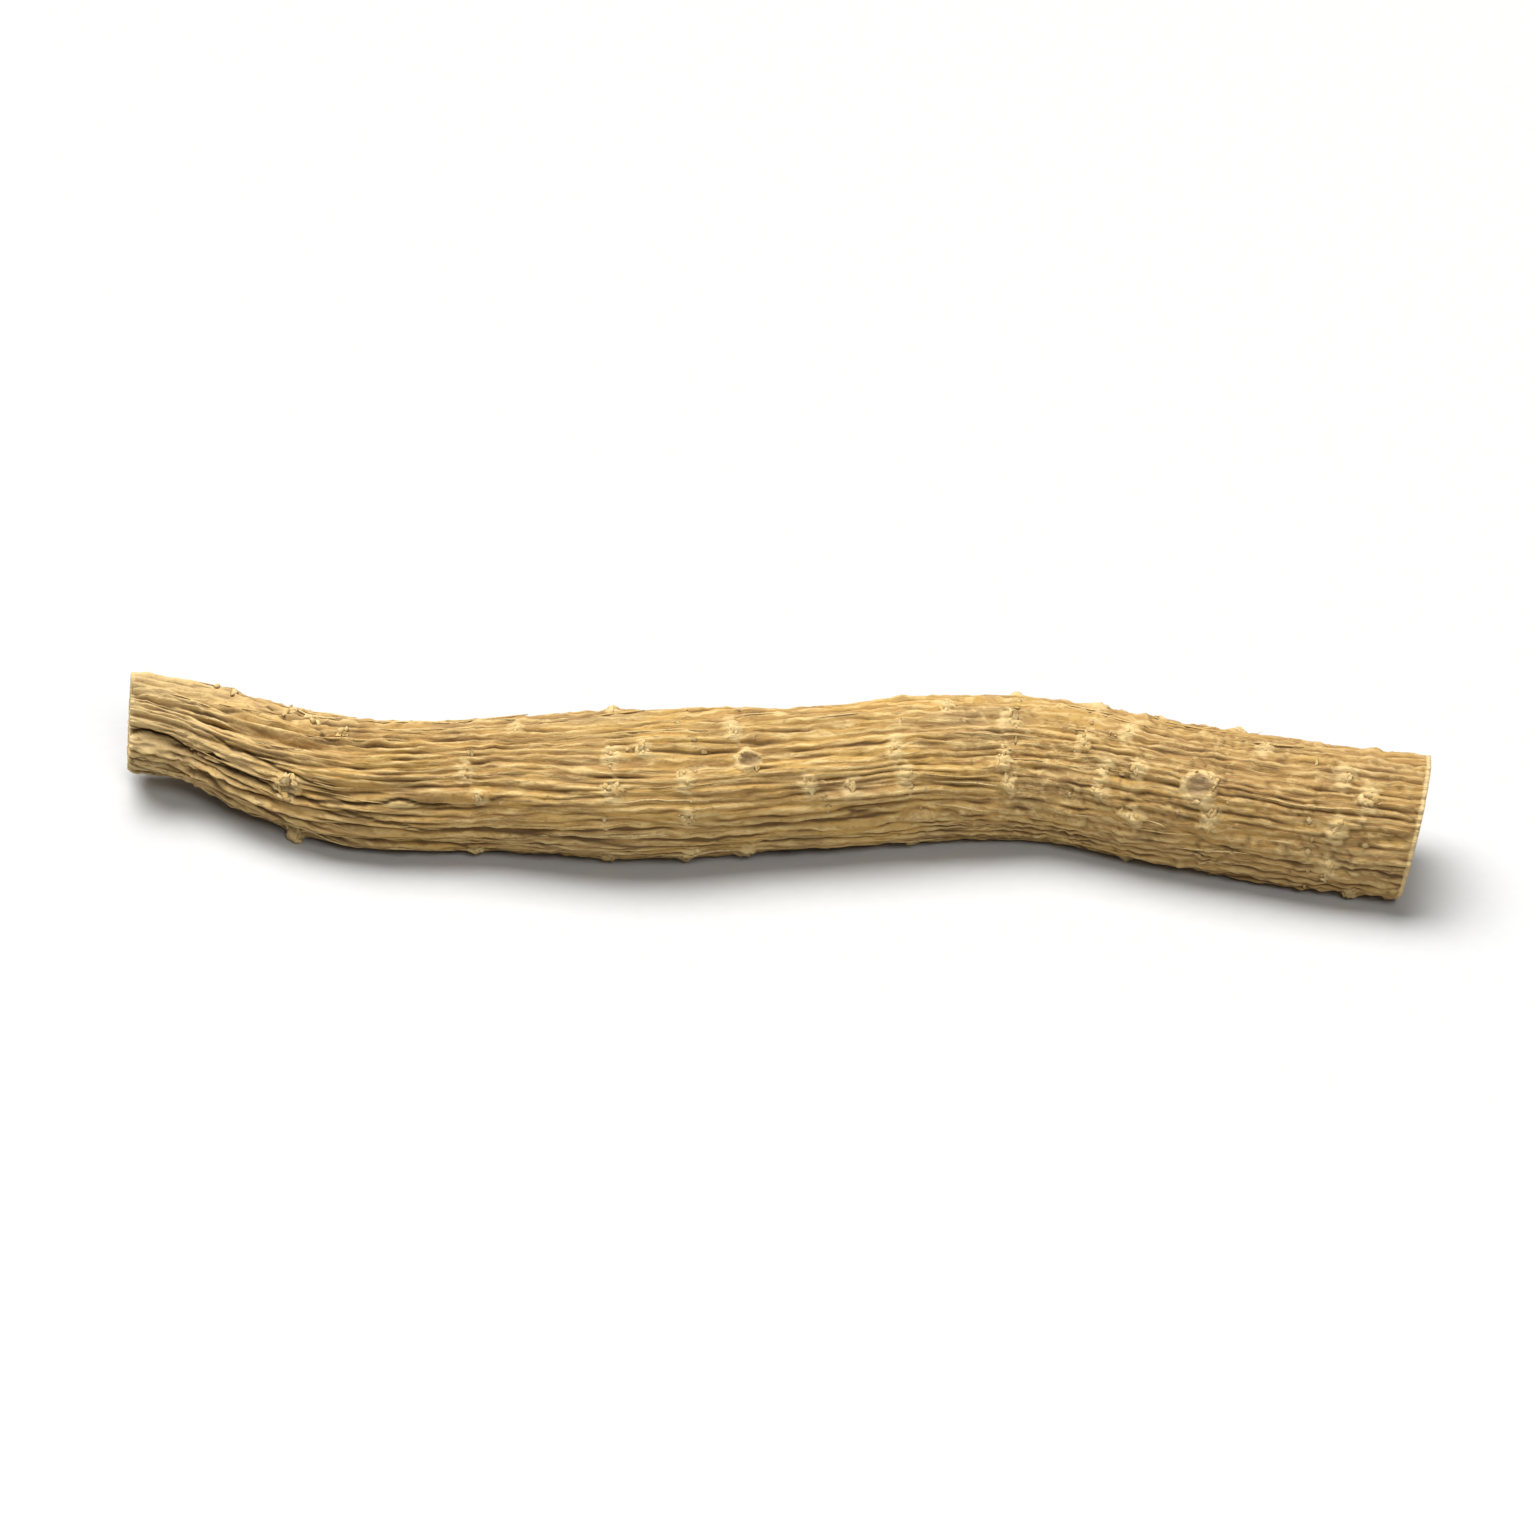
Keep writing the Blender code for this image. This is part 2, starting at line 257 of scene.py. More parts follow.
def row_away(distance, angle, at):
    """How far each place is from one row of lenticels, which wanders a little, in welt half widths."""
    wander = WELT_WANDER * noise_at(np.full_like(angle, at), np.cos(angle), np.sin(angle))
    return (distance - at - wander) / WELT_HALF_WIDTH


LENTICEL_MOUNDS = lenticels()
KNOB_MOUNDS = [(at, mark_angle(degrees), *size) for at, degrees, *size in KNOBS]
print(len(LENTICEL_MOUNDS), "lenticels,", len(KNOB_MOUNDS), "knobs,", len(SCARS), "scars")

# %% [markdown]
# ## Folds and wrinkles
#
# The coarse folds are the solid's: sixteen round crests that wander round the root as they run along it. The eye
# reads dried root by much finer lines, though, so 48 narrow ridges lie on top. They wander by three layers of
# grain, which makes them bend, fork and run into each other, and they are counted by a phase, so that the
# furrows between them and the splits on them can be worked out from the same number.

# %% Shape of the bark
LOBES = ((2, 0.030, 0.6, 0.020), (3, 0.022, 2.1, -0.031), (5, 0.012, 4.0, 0.046))
SWELL = ((16.0, 4.0, 0.30),)
WRINKLES = (9.0, 1.2)
WRINKLE_HEIGHT = 0.6
MEAN_WRINKLE = 0.2
FOLDS_ROUND = 16
FOLD_HEIGHT = 0.46
FOLD_WANDER = ((13.0, 3.2, 3.0),)
FOLD_FADE = ((8.0, 2.2, 0.9),)
MEAN_CREST = 0.64
THIN_END_FOLDS = 0.3
THIN_END_REACH = 15.0
WRINKLE_SHARE = ((14.0, 26.0), (0.9, 0.6))
FOLD_SHARE = ((14.0, 26.0), (1.0, 0.24))
KNOB_SHARE = 0.62
LENTICEL_SHARE = 0.3
WELT_SHARE = 0.35
RIDGES_ROUND = 48
RIDGE_WANDER = ((16.0, 3.4, 4.5), (5.0, 1.3, 1.4), (1.5, 0.6, 0.75))
RIDGE_CREST = 0.08


def fold_crest(distance, angle):
    """The long folds: 1 on a crest and 0 in a furrow."""
    return np.abs(np.sin(FOLDS_ROUND / 2 * angle + grains(distance, angle, FOLD_WANDER)))


def fold_strength(distance, angle):
    """How deep the long folds are here. They are deepest at the thin end."""
    here = 1.0 + grains(distance, angle, FOLD_FADE)
    return np.maximum(here + THIN_END_FOLDS * fall_off(distance, THIN_END_REACH), 0.0)


def marks_lift(distance, angle, radius):
    """How far lenticels, knobs, scars and welts lift the bark. The cork on a lenticel is added later."""
    lift = mounds_lift(distance, angle, radius, KNOB_MOUNDS) * KNOB_SHARE
    lift = lift + mounds_lift(distance, angle, radius, LENTICEL_MOUNDS) * LENTICEL_SHARE
    lift = lift + sum(scar_lift(distance, angle, radius, scar) for scar in SCARS)
    return lift + sum(bump(row_away(distance, angle, at), height) for at, height in LENTICEL_ROWS) * WELT_SHARE


def coarse_radius(distance, angle):
    """Distance from the centreline to the bark, with the solid's folds and marks but nothing finer."""
    radius = mean_radius_at(distance)
    lobes = sum(share * np.cos(n * angle + turn + twist * distance) for n, share, turn, twist in LOBES)
    wrinkles = (np.abs(grain(distance, angle, *WRINKLES)) - MEAN_WRINKLE) * WRINKLE_HEIGHT
    wrinkles *= np.interp(distance, *WRINKLE_SHARE)
    folds = (fold_crest(distance, angle) - MEAN_CREST) * FOLD_HEIGHT * fold_strength(distance, angle)
    folds *= np.interp(distance, *FOLD_SHARE)
    swell = grains(distance, angle, SWELL)
    return radius * (1 + lobes) + swell + wrinkles + folds + marks_lift(distance, angle, radius)


def ridge_phase(distance, angle):
    """Counts the ridges round the root: it grows by pi from each furrow to the next."""
    return angle * RIDGES_ROUND / 2 + grains(distance, angle, RIDGE_WANDER)


def furrow_strength(distance, angle, mean, layers):
    """How strong a furrow is from place to place, from 0 to 1."""
    return clamp(mean + grains(distance, angle, layers))


quarters = np.arange(4) * math.pi / 2
print("bark radius at mid length, mm:", np.round(coarse_radius(np.full(4, LENGTH / 2), quarters), 2))

# %% [markdown]
# ## The blank
#
# A root could be sculpted from a lump, but its wrinkles need even rows of faces that follow it. So the blank is
# drawn out like a tube: a circle at the thin cut is extruded from station to station and resized to each
# station's thickness. Each stretch is then subdivided lengthwise to an even spacing, and each cut is filled,
# inset ring by ring, and closed at its middle. One unit is one millimetre here, which keeps the steps readable.

# %% Draw out the blank
SIDES = 340
ROW_SPACING = 0.322
LIP_SHARE = 0.94
SEAT_SHARE = 0.92
CAP_SHARES = (1.0, 0.97, LIP_SHARE, SEAT_SHARE, 0.5)
EDGES, FACES = (False, True, False), (False, False, True)


def deselect_all():
    bpy.ops.object.select_all(action="DESELECT")


def edit(piece):
    """Goes into edit mode on one piece, with nothing in its mesh selected."""
    deselect_all()
    bpy.context.view_layer.objects.active = piece
    piece.select_set(True)
    bpy.ops.object.mode_set(mode="EDIT")
    bpy.ops.mesh.select_all(action="DESELECT")


def select_edges(piece, wanted):
    """Selects the edges of the piece in edit mode that pass a test on their two ends."""
    mesh = bmesh.from_edit_mesh(piece.data)
    mesh.select_mode = {"EDGE"}
    for edge in mesh.edges:
        edge.select_set(wanted(edge.verts[0].co, edge.verts[1].co))
    mesh.select_flush_mode()
    bmesh.update_edit_mesh(piece.data)


def edit_circle(vertices, radius, height=0.0, tipped=0.0):
    """A new circle, in edit mode with all its edges selected."""
    deselect_all()
    bpy.ops.mesh.primitive_circle_add(
        vertices=vertices, radius=radius, location=(0, 0, height), rotation=(0, tipped, 0)
    )
    circle = bpy.context.object
    bpy.ops.object.transform_apply()
    edit(circle)
    bpy.context.tool_settings.mesh_select_mode = EDGES
    bpy.ops.mesh.select_all(action="SELECT")
    return circle


def extrude(move, resize=(1, 1, 1), about=(0, 0, 0)):
    bpy.ops.mesh.extrude_region_move(TRANSFORM_OT_translate={"value": move})
    bpy.ops.transform.resize(value=resize, center_override=about)


def close_ring(steps, depth=0.0):
    """Fills the selected ring of edges, insets the face by each step and closes it at its middle."""
    bpy.ops.mesh.edge_face_add()
    bpy.context.tool_settings.mesh_select_mode = FACES
    for step in steps:
        bpy.ops.mesh.inset(thickness=step, depth=depth)
    bpy.ops.mesh.poke()
    bpy.ops.object.mode_set(mode="OBJECT")


def draw_out_blank():
    blank = edit_circle(SIDES, COURSE[0][THICKNESS] / 2, tipped=math.pi / 2)
    for before, after in zip(COURSE, COURSE[1:]):
        grow = after[THICKNESS] / before[THICKNESS]
        extrude((after[0] - before[0], 0, 0), (1, grow, grow), (after[0], 0, 0))
    bpy.ops.object.mode_set(mode="OBJECT")
    return blank


def space_rows(blank):
    """Subdivides each stretch between two stations lengthwise."""
    for before, after in zip(COURSE, COURSE[1:]):
        edit(blank)
        middle = (before[0] + after[0]) / 2
        select_edges(blank, lambda a, b: min(a.x, b.x) < middle < max(a.x, b.x))
        bpy.ops.mesh.subdivide(number_cuts=round((after[0] - before[0]) / ROW_SPACING) - 1)
        bpy.ops.object.mode_set(mode="OBJECT")


def close_cut(blank, station):
    """Closes one end. Its rings lie closest where the bark's lip drops to the cut face."""
    edit(blank)
    select_edges(blank, lambda a, b: max(abs(a.x - station[0]), abs(b.x - station[0])) < 0.01)
    close_ring([station[THICKNESS] / 2 * (out - further_in) for out, further_in in zip(CAP_SHARES, CAP_SHARES[1:])])


root = draw_out_blank()
root.name = "root_surface"
space_rows(root)
close_cut(root, COURSE[0])
close_cut(root, COURSE[-1])
print("blank:", len(root.data.vertices), "points,", len(root.data.polygons), "faces")

# %% [markdown]
# ## Reading the blank
#
# Each point of the blank is now read as a place on the root: how far along it is, which way round, and, on a
# cut face, what share of the way out to the rim. From here on the shape is worked out from those three numbers.
# The rows are also moved closer together where there is more to show: at marks, among the rings and at the cuts.

# %% Places on the root
RINGS_FROM, RINGS_FULL = 50.0, 70.0
CLOSER_AT_MARKS = 0.9
CLOSER_AT_RINGS = 0.25
CLOSER_AT_ENDS = 2.0
MARK_REACH = 0.8
END_REACH = 0.6
ON_THE_CUT = 0.001


def points_of(piece):
    """The points of a piece, one row of x, y and z each."""
    flat = np.empty(len(piece.data.vertices) * 3)
    piece.data.vertices.foreach_get("co", flat)
    return flat.reshape(-1, 3)


x, y, z = points_of(root).T
even = np.clip(x, 0, LENGTH)
even[even < ON_THE_CUT] = 0.0
ruler = np.linspace(0, LENGTH, 2000)
marked = [row[0] for row in LENTICEL_ROWS] + [scar[0] for scar in SCARS]
density = 1 + CLOSER_AT_MARKS * sum(fall_off(ruler - at, MARK_REACH) for at in marked)
density += CLOSER_AT_RINGS * (ruler > RINGS_FROM)
density += CLOSER_AT_ENDS * (fall_off(ruler, END_REACH) + fall_off(LENGTH - ruler, END_REACH))
crowding = np.concatenate([[0], np.cumsum((density[1:] + density[:-1]) / 2)])
along = np.interp(even, crowding / crowding[-1] * LENGTH, ruler)
around = np.arctan2(-y, z)
stations = [row[0] for row in COURSE]
outward = np.hypot(y, z) / np.interp(even, stations, [row[THICKNESS] / 2 for row in COURSE])
outward = np.where((even > 0) & (even < LENGTH), 1.0, clamp(outward))
print("points on the cut faces:", int((outward < 0.999).sum()))

# %% [markdown]
# ## Cracks, swellings and cork
#
# Some lines belong to this root alone: a deep crack that runs from the thin cut, shorter ones beside it, and two
# swollen strands. Each is listed by its half width, its depth or height, and the places that it runs through.
# Cork is different, because it sits on every lenticel, so it is a patch with a ragged edge.

# %% Cracks, swellings and cork patches
CRACKS = (
    (0.27, 0.55, ((0.0, 70), (1.4, 61), (3.2, 68), (5.4, 77), (6.6, 70), (8.4, 73), (11.0, 80), (12.6, 83))),
    (0.22, 0.34, ((11.6, 83), (14.4, 80), (17.8, 75), (19.6, 71), (21.6, 75), (24.0, 78))),
    (0.20, 0.30, ((0.0, 116), (0.5, 111), (1.1, 99), (1.7, 90), (2.2, 88))),
    (0.18, 0.26, ((0.2, 92), (0.8, 97), (1.3, 104))),
    (0.22, 0.34, ((10.6, -4), (11.6, -5), (12.6, -2))),
    (0.22, 0.34, ((13.2, -2), (14.0, 0), (15.0, 12), (16.0, 16))),
    (0.20, 0.26, ((6.8, 46), (10.2, 52), (14.8, 60), (17.0, 62))),
    (0.18, 0.24, ((16.2, 84), (18.6, 92), (21.0, 101), (23.0, 108))),
    (0.18, 0.24, ((48.4, 84), (49.6, 90), (51.0, 88))),
)
SWELLINGS = (
    (0.80, 0.26, ((0.4, 50), (4.4, 43), (8.0, 52), (11.5, 60))),
    (0.55, 0.16, ((0.0, 97), (4.0, 94), (8.0, 100))),
)
LINE_WANDER = 0.25
LINE_START, LINE_END = 0.5, 1.5
CORK_SIZE = (0.62, 1.0)
CRUMB_SIZE = 0.34


def lines_here(distance, angle, radius, lines):
    """How near the middle of a crack or swelling each place is, and how deep or high the line is there."""
    near, depth = np.zeros_like(distance), np.zeros_like(distance)
    wander = grain(distance, angle * 0, 0.9, 1.0) * LINE_WANDER
    for half_width, deepest, course in lines:
        at = [place for place, _ in course]
        towards = np.interp(distance, at, [math.radians(degrees) for _, degrees in course])
        across = np.abs(turn_between(angle, towards) * radius + wander) / half_width
        from_start = clamp((distance - at[0]) / LINE_START + (at[0] < 0.3))
        line = bump(across, 1.0) * from_start * clamp((at[-1] - distance) / LINE_END)
        near, depth = np.maximum(near, line), np.maximum(depth, line * deepest)
    return near, depth


def cork_patches(distance, angle, radius, crumbs):
    """How much of each place is the cork of a lenticel. Its edge is ragged."""
    patches = np.zeros_like(distance)
    half_length, half_width = CORK_SIZE
    for at, towards, _, width, _ in LENTICEL_MOUNDS:
        near = np.abs(distance - at) < 2.5 * half_length
        across = turn_between(angle[near], towards) * radius[near] / (half_width * width / LENTICEL[1])
        away = np.hypot((distance[near] - at) / half_length, across) + crumbs[near] * 0.9
        patches[near] = np.maximum(patches[near], clamp((1.15 - away) / 0.4))
    return patches


mean_radius = mean_radius_at(along)
here = (along, around, mean_radius)
crack, crack_depth = lines_here(*here, CRACKS)
swelling, swelling_height = lines_here(*here, SWELLINGS)
crumbs, fine_crumbs = crumb(*here, CRUMB_SIZE), crumb(*here, CRUMB_SIZE / 2)
cork = cork_patches(*here, crumbs)
print(len(CRACKS), "cracks, and cork on", round(100 * float((cork > 0.5).mean()), 1), "% of the surface")

# %% [markdown]
# ## Furrows, splits and rings
#
# A furrow lies wherever the ridges' phase passes a multiple of pi, and a split runs along the back of a ridge.
# Both come and go. Short rings cross them near the thick end, where the root shrank lengthwise too, and break
# the ridges into knuckles. Scars and cork quieten all of it, because they shrink less.

# %% Furrows, splits, rings and scars
FURROW_HALF_WIDTH = (0.055, 0.055)
FURROW_STRENGTH = (0.5, ((9.0, 0.8, 0.7), (2.3, 0.55, 1.0)))
SPLIT_HALF_WIDTH = 0.075
SPLIT_STRENGTH = (-0.15, ((2.0, 0.5, 2.2),))
RING_SPACING = 0.8
RING_WANDER = 1.4
RING_STRENGTH = (0.45, ((1.4, 0.8, 2.6),))
RINGS_LEAST = 0.35
KNUCKLE_SIZE = 0.75
SCAR_CRUMB_SIZE = 0.7

phase = ridge_phase(along, around)
ridge = np.abs(np.sin(phase))
to_mm = mean_radius * 2 / RIDGES_ROUND
furrow_here = furrow_strength(along, around, *FURROW_STRENGTH)
furrow = fall_off(np.arcsin(ridge) * to_mm, FURROW_HALF_WIDTH[0] + FURROW_HALF_WIDTH[1] * furrow_here)
from_split = np.arcsin(np.abs(np.cos(phase + grain(along, around, 3.0, 1.0)))) * to_mm
split = fall_off(from_split, SPLIT_HALF_WIDTH) * furrow_strength(along, around, *SPLIT_STRENGTH)
coarse_furrow = clamp(1 - fold_crest(along, around) / 0.35) * clamp(fold_strength(along, around))

ringed = np.interp(along, [RINGS_FROM, RINGS_FULL], [0.0, 1.0])
ring_place = along + grain(along, around, 2.5, 1.2) * RING_WANDER
ring = fall_off(np.sin(math.pi * ring_place / RING_SPACING), 0.4)
ring *= (RINGS_LEAST + (1 - RINGS_LEAST) * ringed) * furrow_strength(along, around, *RING_STRENGTH)
knuckles = crumb(*here, KNUCKLE_SIZE) * (0.3 + 0.7 * ridge)

welt = sum(fall_off(row_away(along, around, at), 1.0) * height for at, height in LENTICEL_ROWS)
cork_lumps = cork * (0.5 + 0.5 * ridge) * clamp(0.8 + crumbs * 1.2 + fine_crumbs, 1.4)
scar_crumbs = crumb(*here, SCAR_CRUMB_SIZE)
from_scars = [scar_away(*here, scar) * (1 + scar[5] * scar_crumbs) for scar in SCARS]
scar_edge = sum(fall_off(away - 0.96, 0.12) for away in from_scars)
collar = sum(bump((away - 1.18) / 0.5, 1.0) for away in from_scars)
scar_middle = sum(clamp((1.0 - away) / 0.2) for away in from_scars)
quiet = 1 - 0.7 * clamp(collar + scar_middle + 0.5 * cork + 0.8 * swelling)
print("furrows cover", round(100 * float((furrow * furrow_here > 0.5).mean())), "% of the surface")

# %% [markdown]
# ## Adding the relief up
#
# All of this is now added up as heights over the solid's own bark, in millimetres. Each height is a value of its
# own, because they were found by trying: too deep, and the root looks carved; too shallow, and it looks painted.

# %% Add up the relief
SHALLOWER = ((15.0, 35.0, 60.0), (1.0, 0.85, 0.7))
FURROW_DEPTH = 0.18
SPLIT_DEPTH = 0.06
RING_DEPTH = 0.095
KNUCKLE_HEIGHT = 0.10
KNUCKLES_WHERE_RINGED = 0.9
GRIT = ((0.9, 0.42, 0.10), (0.5, 0.27, 0.06))
THIN_END_GRIT = 1.2
THIN_END_FURROWS = 0.35
RIM_REACH = 0.3
THIN_RIM_DROP = 0.16
THICK_RIM_FLARE = 0.07
CORK_HEIGHT = 0.13
COLLAR_CRUMBS = 0.09
MARK_CRUMBS = 0.05

bark = coarse_radius(along, around)
thin_end_here = fall_off(along, THIN_END_REACH)
grit = grains(along, around, GRIT) * (1 + THIN_END_GRIT * thin_end_here)
thin_rim = np.exp(-along / RIM_REACH)
thick_rim = np.exp(-(LENGTH - along) / RIM_REACH)
shallower = np.interp(along, *SHALLOWER)

fine = RIDGE_CREST * (ridge - MEAN_CREST) * quiet * shallower + grit
fine += KNUCKLE_HEIGHT * knuckles * quiet * (1 + KNUCKLES_WHERE_RINGED * ringed)
fine += thick_rim * THICK_RIM_FLARE - thin_rim * THIN_RIM_DROP
fine -= FURROW_DEPTH * furrow * furrow_here * quiet * shallower * (1 + THIN_END_FURROWS * thin_end_here)
fine -= (SPLIT_DEPTH * split + RING_DEPTH * ring) * quiet
fine += CORK_HEIGHT * cork_lumps + (crumbs + fine_crumbs) * clamp(collar) * COLLAR_CRUMBS
fine += crumbs * clamp(cork + welt * 3 + collar + 2 * scar_middle, 2) * MARK_CRUMBS
fine += swelling_height - crack_depth
on_knob = clamp(mounds_lift(*here, KNOB_MOUNDS) / 0.4)
fine += on_knob * (crumbs * 0.28 + fine_crumbs * 0.12)
print("fine relief, mm:", round(float(fine.min()), 2), "to", round(float(fine.max()), 2))

# %% [markdown]
# ## Bending the blank into the root
#
# Each point goes out from the centreline by its radius, along the two directions that are square to the
# centreline there. Near the ends the points slide along the root until they lie on the slanting cuts. At last
# the root is let down on the table as the solid is: three stretches of its underside are brought level, and the
# lowest ridges are worn flat at height 0.

# %% Bend, settle and place
TANGENT_STEP = 0.05
THIN_CUT_NORMAL = np.array((-0.977, -0.198, 0.085))
THICK_CUT_NORMAL = np.array((0.980, 0.028, -0.195))
SLANT_REACH = 6.0
SEAT_DEPTH = 0.45
FEET = ((15.0, 24.0), (56.0, 67.0), (80.0, 87.5))
FOOT_SHARE = 0.027
SETTLING_STEPS = 6
FLAT_DEPTH = 0.22


def unit(rows):
    return rows / np.linalg.norm(rows, axis=-1, keepdims=True)


def across_directions(distance):
    """The two directions square to the centreline: upwards, and towards the viewer."""
    ahead = np.minimum(distance + TANGENT_STEP, LENGTH)
    behind = np.maximum(distance - TANGENT_STEP, 0.0)
    tangent = unit(centre_at(ahead) - centre_at(behind))
    up = unit(np.array((0, 0, 1)) - tangent * tangent[:, 2:])
    return up, np.cross(tangent, up)


def bend(distance, angle, radius, inward=0.0):
    """The places of points on the root, in its own millimetres."""
    up, towards_viewer = across_directions(distance)
    offset = (up * np.cos(angle)[:, None] + towards_viewer * np.sin(angle)[:, None]) * radius[:, None]
    slide = np.zeros_like(distance)
    for away, normal in ((distance, THIN_CUT_NORMAL), (LENGTH - distance, THICK_CUT_NORMAL)):
        slide -= clamp(1 - away / SLANT_REACH) * (offset @ normal) / normal[0]
    offset[:, 0] += slide + np.where(distance < LENGTH / 2, inward, -inward)
    return centre_at(distance) + offset


def level(points, distance):
    """The tilt and drop that bring the root's three feet level at height 0."""
    points = points.copy()
    tilt, drop = np.zeros(2), 0.0
    for _ in range(SETTLING_STEPS):
        feet = []
        for start, end in FEET:
            stretch = points[(distance >= start) & (distance <= end)]
            lowest = stretch[stretch[:, 2].argsort()[: round(FOOT_SHARE * len(stretch))]]
            feet.append(lowest.mean(axis=0))
        normal = np.cross(feet[1] - feet[0], feet[2] - feet[0])
        tilt = tilt + normal[:2] / normal[2]
        drop -= feet[0][:2] @ normal[:2] / normal[2] + feet[0][2]
        points[:, 2] += (points[:, :2] - feet[0][:2]) @ normal[:2] / normal[2] - feet[0][2]
    return tilt, drop - FLAT_DEPTH


def place(points):
    """Sets points of the bent root where they lie on the table, in metres."""
    points = points.copy()
    points[:, 2] = np.maximum(points[:, 2] + points[:, :2] @ TILT + DROP, 0.0)
    points[:, :2] -= MIDDLE
    return points * MM


cut_seat = np.interp(outward, (0.0, SEAT_SHARE, LIP_SHARE, 1.0), (SEAT_DEPTH, SEAT_DEPTH, 0.0, 0.0))
points = bend(along, around, (bark + fine) * outward, cut_seat)
TILT, DROP = level(points, along)
MIDDLE = (points[:, :2].min(axis=0) + points[:, :2].max(axis=0)) / 2
points = place(points)
root.data.vertices.foreach_set("co", points.ravel())
root.data.update()
print("root, mm:", [round(float(side) / MM, 2) for side in points.max(axis=0) - points.min(axis=0)])

# %% [markdown]
# ## Masks for the colours
#
# The materials need to know what each point is. Plain numbers on the points carry that: how deep in a furrow it
# lies and how much painted shade the furrow gets there (most of it low down), how corky it is, whether it
# is the middle of a scar, and its place on the straightened root, so that the grain follows every bend.

# %% Keep the masks on the mesh
# How strong the painted shade in the furrows is along the root, and how much more of it the lower side gets.
FURROW_SHADE_ALONG = ((0.0, 12.0, 28.0, 42.0, 64.0, 80.0), (0.75, 0.9, 0.95, 0.72, 0.68, 0.74))
FURROW_SHADE_BELOW = 0.45
PALE_THIN_END = 9.0
# Painted shade over the thick end fades in along this stretch.
THICK_END_SHADE = ((56.0, 74.0), (0.0, 1.0))
KNUCKLES_SEEN = ((45.0, 62.0), (0.45, 1.0))


def keep_mask(piece, name, values):
    mask = piece.data.attributes.new(name, "FLOAT", "POINT")
    mask.data.foreach_set("value", np.asarray(values, np.float32))


def keep_straightened(piece, distance, angle, radius):
    """Where each point would be if the root were straight, for patterns that follow its bends."""
    straight = piece.data.attributes.new("straightened", "FLOAT_VECTOR", "POINT")
    places = np.stack([distance, -radius * np.sin(angle), radius * np.cos(angle)], axis=-1)
    straight.data.foreach_set("vector", (places * MM).astype(np.float32).ravel())


def close_up(piece):
    """Turns every face outwards and shades the piece smooth."""
    edit(piece)
    bpy.ops.mesh.select_all(action="SELECT")
    bpy.ops.mesh.normals_make_consistent(inside=False)
    bpy.ops.object.mode_set(mode="OBJECT")
    bpy.ops.object.shade_smooth()


# Painted shade: furrows on the root's lower side are painted darker.
low_down = clamp((0.15 - np.cos(around)) / 0.35)
furrow_shade = np.interp(along, *FURROW_SHADE_ALONG) + FURROW_SHADE_BELOW * low_down
dark = 1 - (1 - furrow * furrow_here * quiet) * (1 - 0.5 * split * quiet) * (1 - 0.5 * coarse_furrow * quiet)
cork_seen = np.maximum(cork * (0.55 + 0.5 * cork_lumps), collar * (0.95 + crumbs))
cork_seen += welt * 3 * ridge * clamp(0.35 + 1.8 * grit / 0.1)
# The furrow mask is painted shade: dark in furrows, splits, cracks and at the edges of scar pits.
keep_mask(root, "furrow", clamp(np.maximum(dark * furrow_shade, np.maximum(crack**1.5, 0.6 * scar_edge))))
# The ridge mask paints the crests pale: rubbed wear and a painted highlight, paler on the lower side.
keep_mask(root, "ridge", clamp((ridge - 1.2 * dark) * (1 + 0.3 * low_down)))
keep_mask(root, "ring", ring)
keep_mask(root, "rim", np.where(outward > 0.999, np.maximum(thin_rim, thick_rim), outward > 0.935))
keep_mask(root, "cork", clamp(cork_seen))
keep_mask(root, "scar", clamp(scar_middle * 1.1))
keep_mask(root, "thin_end", fall_off(along, PALE_THIN_END))
keep_mask(root, "thick_end", np.interp(along, *THICK_END_SHADE))
keep_mask(root, "knuckle", clamp(0.5 + knuckles * 1.6) * np.interp(along, *KNUCKLES_SEEN))
keep_straightened(root, along, phase * 2 / RIDGES_ROUND, mean_radius * outward)
close_up(root)
print("dark furrows cover", round(100 * float((dark > 0.5).mean())), "% of the surface")

# %% [markdown]
# ## Laying small things on the bark
#
# Crusts, fibres and hairs are modelled straight and flat first, in millimetres: x runs along the root, y across
# it and z away from it. They are then laid on the bark point by point, so that they bend with it and stand in it
# with their undersides sunk, as grown things do.

# %% Lay models on the bark
LAID_ENDS = 0.02


def lay(name, model, distance, angle, across, lift, tones, lift_full):
    """One piece from many copies of a model. Each point is given by its distance, a direction round the root,
    how far across from there it lies, and its lift off the bark. Each copy has one tone."""
    distance = np.clip(distance, LAID_ENDS, LENGTH - LAID_ENDS)
    radius = mean_radius_at(distance)
    angle = angle + across / radius
    ridges = RIDGE_CREST * (np.abs(np.sin(ridge_phase(distance, angle))) - MEAN_CREST)
    places = place(bend(distance, angle, coarse_radius(distance, angle) + ridges + lift))
    corners = [tuple(polygon.vertices) for polygon in model.data.polygons]
    size = len(model.data.vertices)
    faces = [tuple(corner + i * size for corner in face) for i in range(len(tones)) for face in corners]
    mesh = bpy.data.meshes.new(name)
    mesh.from_pydata(places.tolist(), [], faces)
    piece = bpy.data.objects.new(name, mesh)
    bpy.context.scene.collection.objects.link(piece)
    keep_straightened(piece, distance, angle, radius)
    keep_mask(piece, "lift", clamp(lift / lift_full))
    keep_mask(piece, "tone", np.repeat(tones, size))
    close_up(piece)
    bpy.data.objects.remove(model)
    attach(piece, "root")
    print(name, "has", len(tones), "parts and", len(faces), "faces")
    return piece


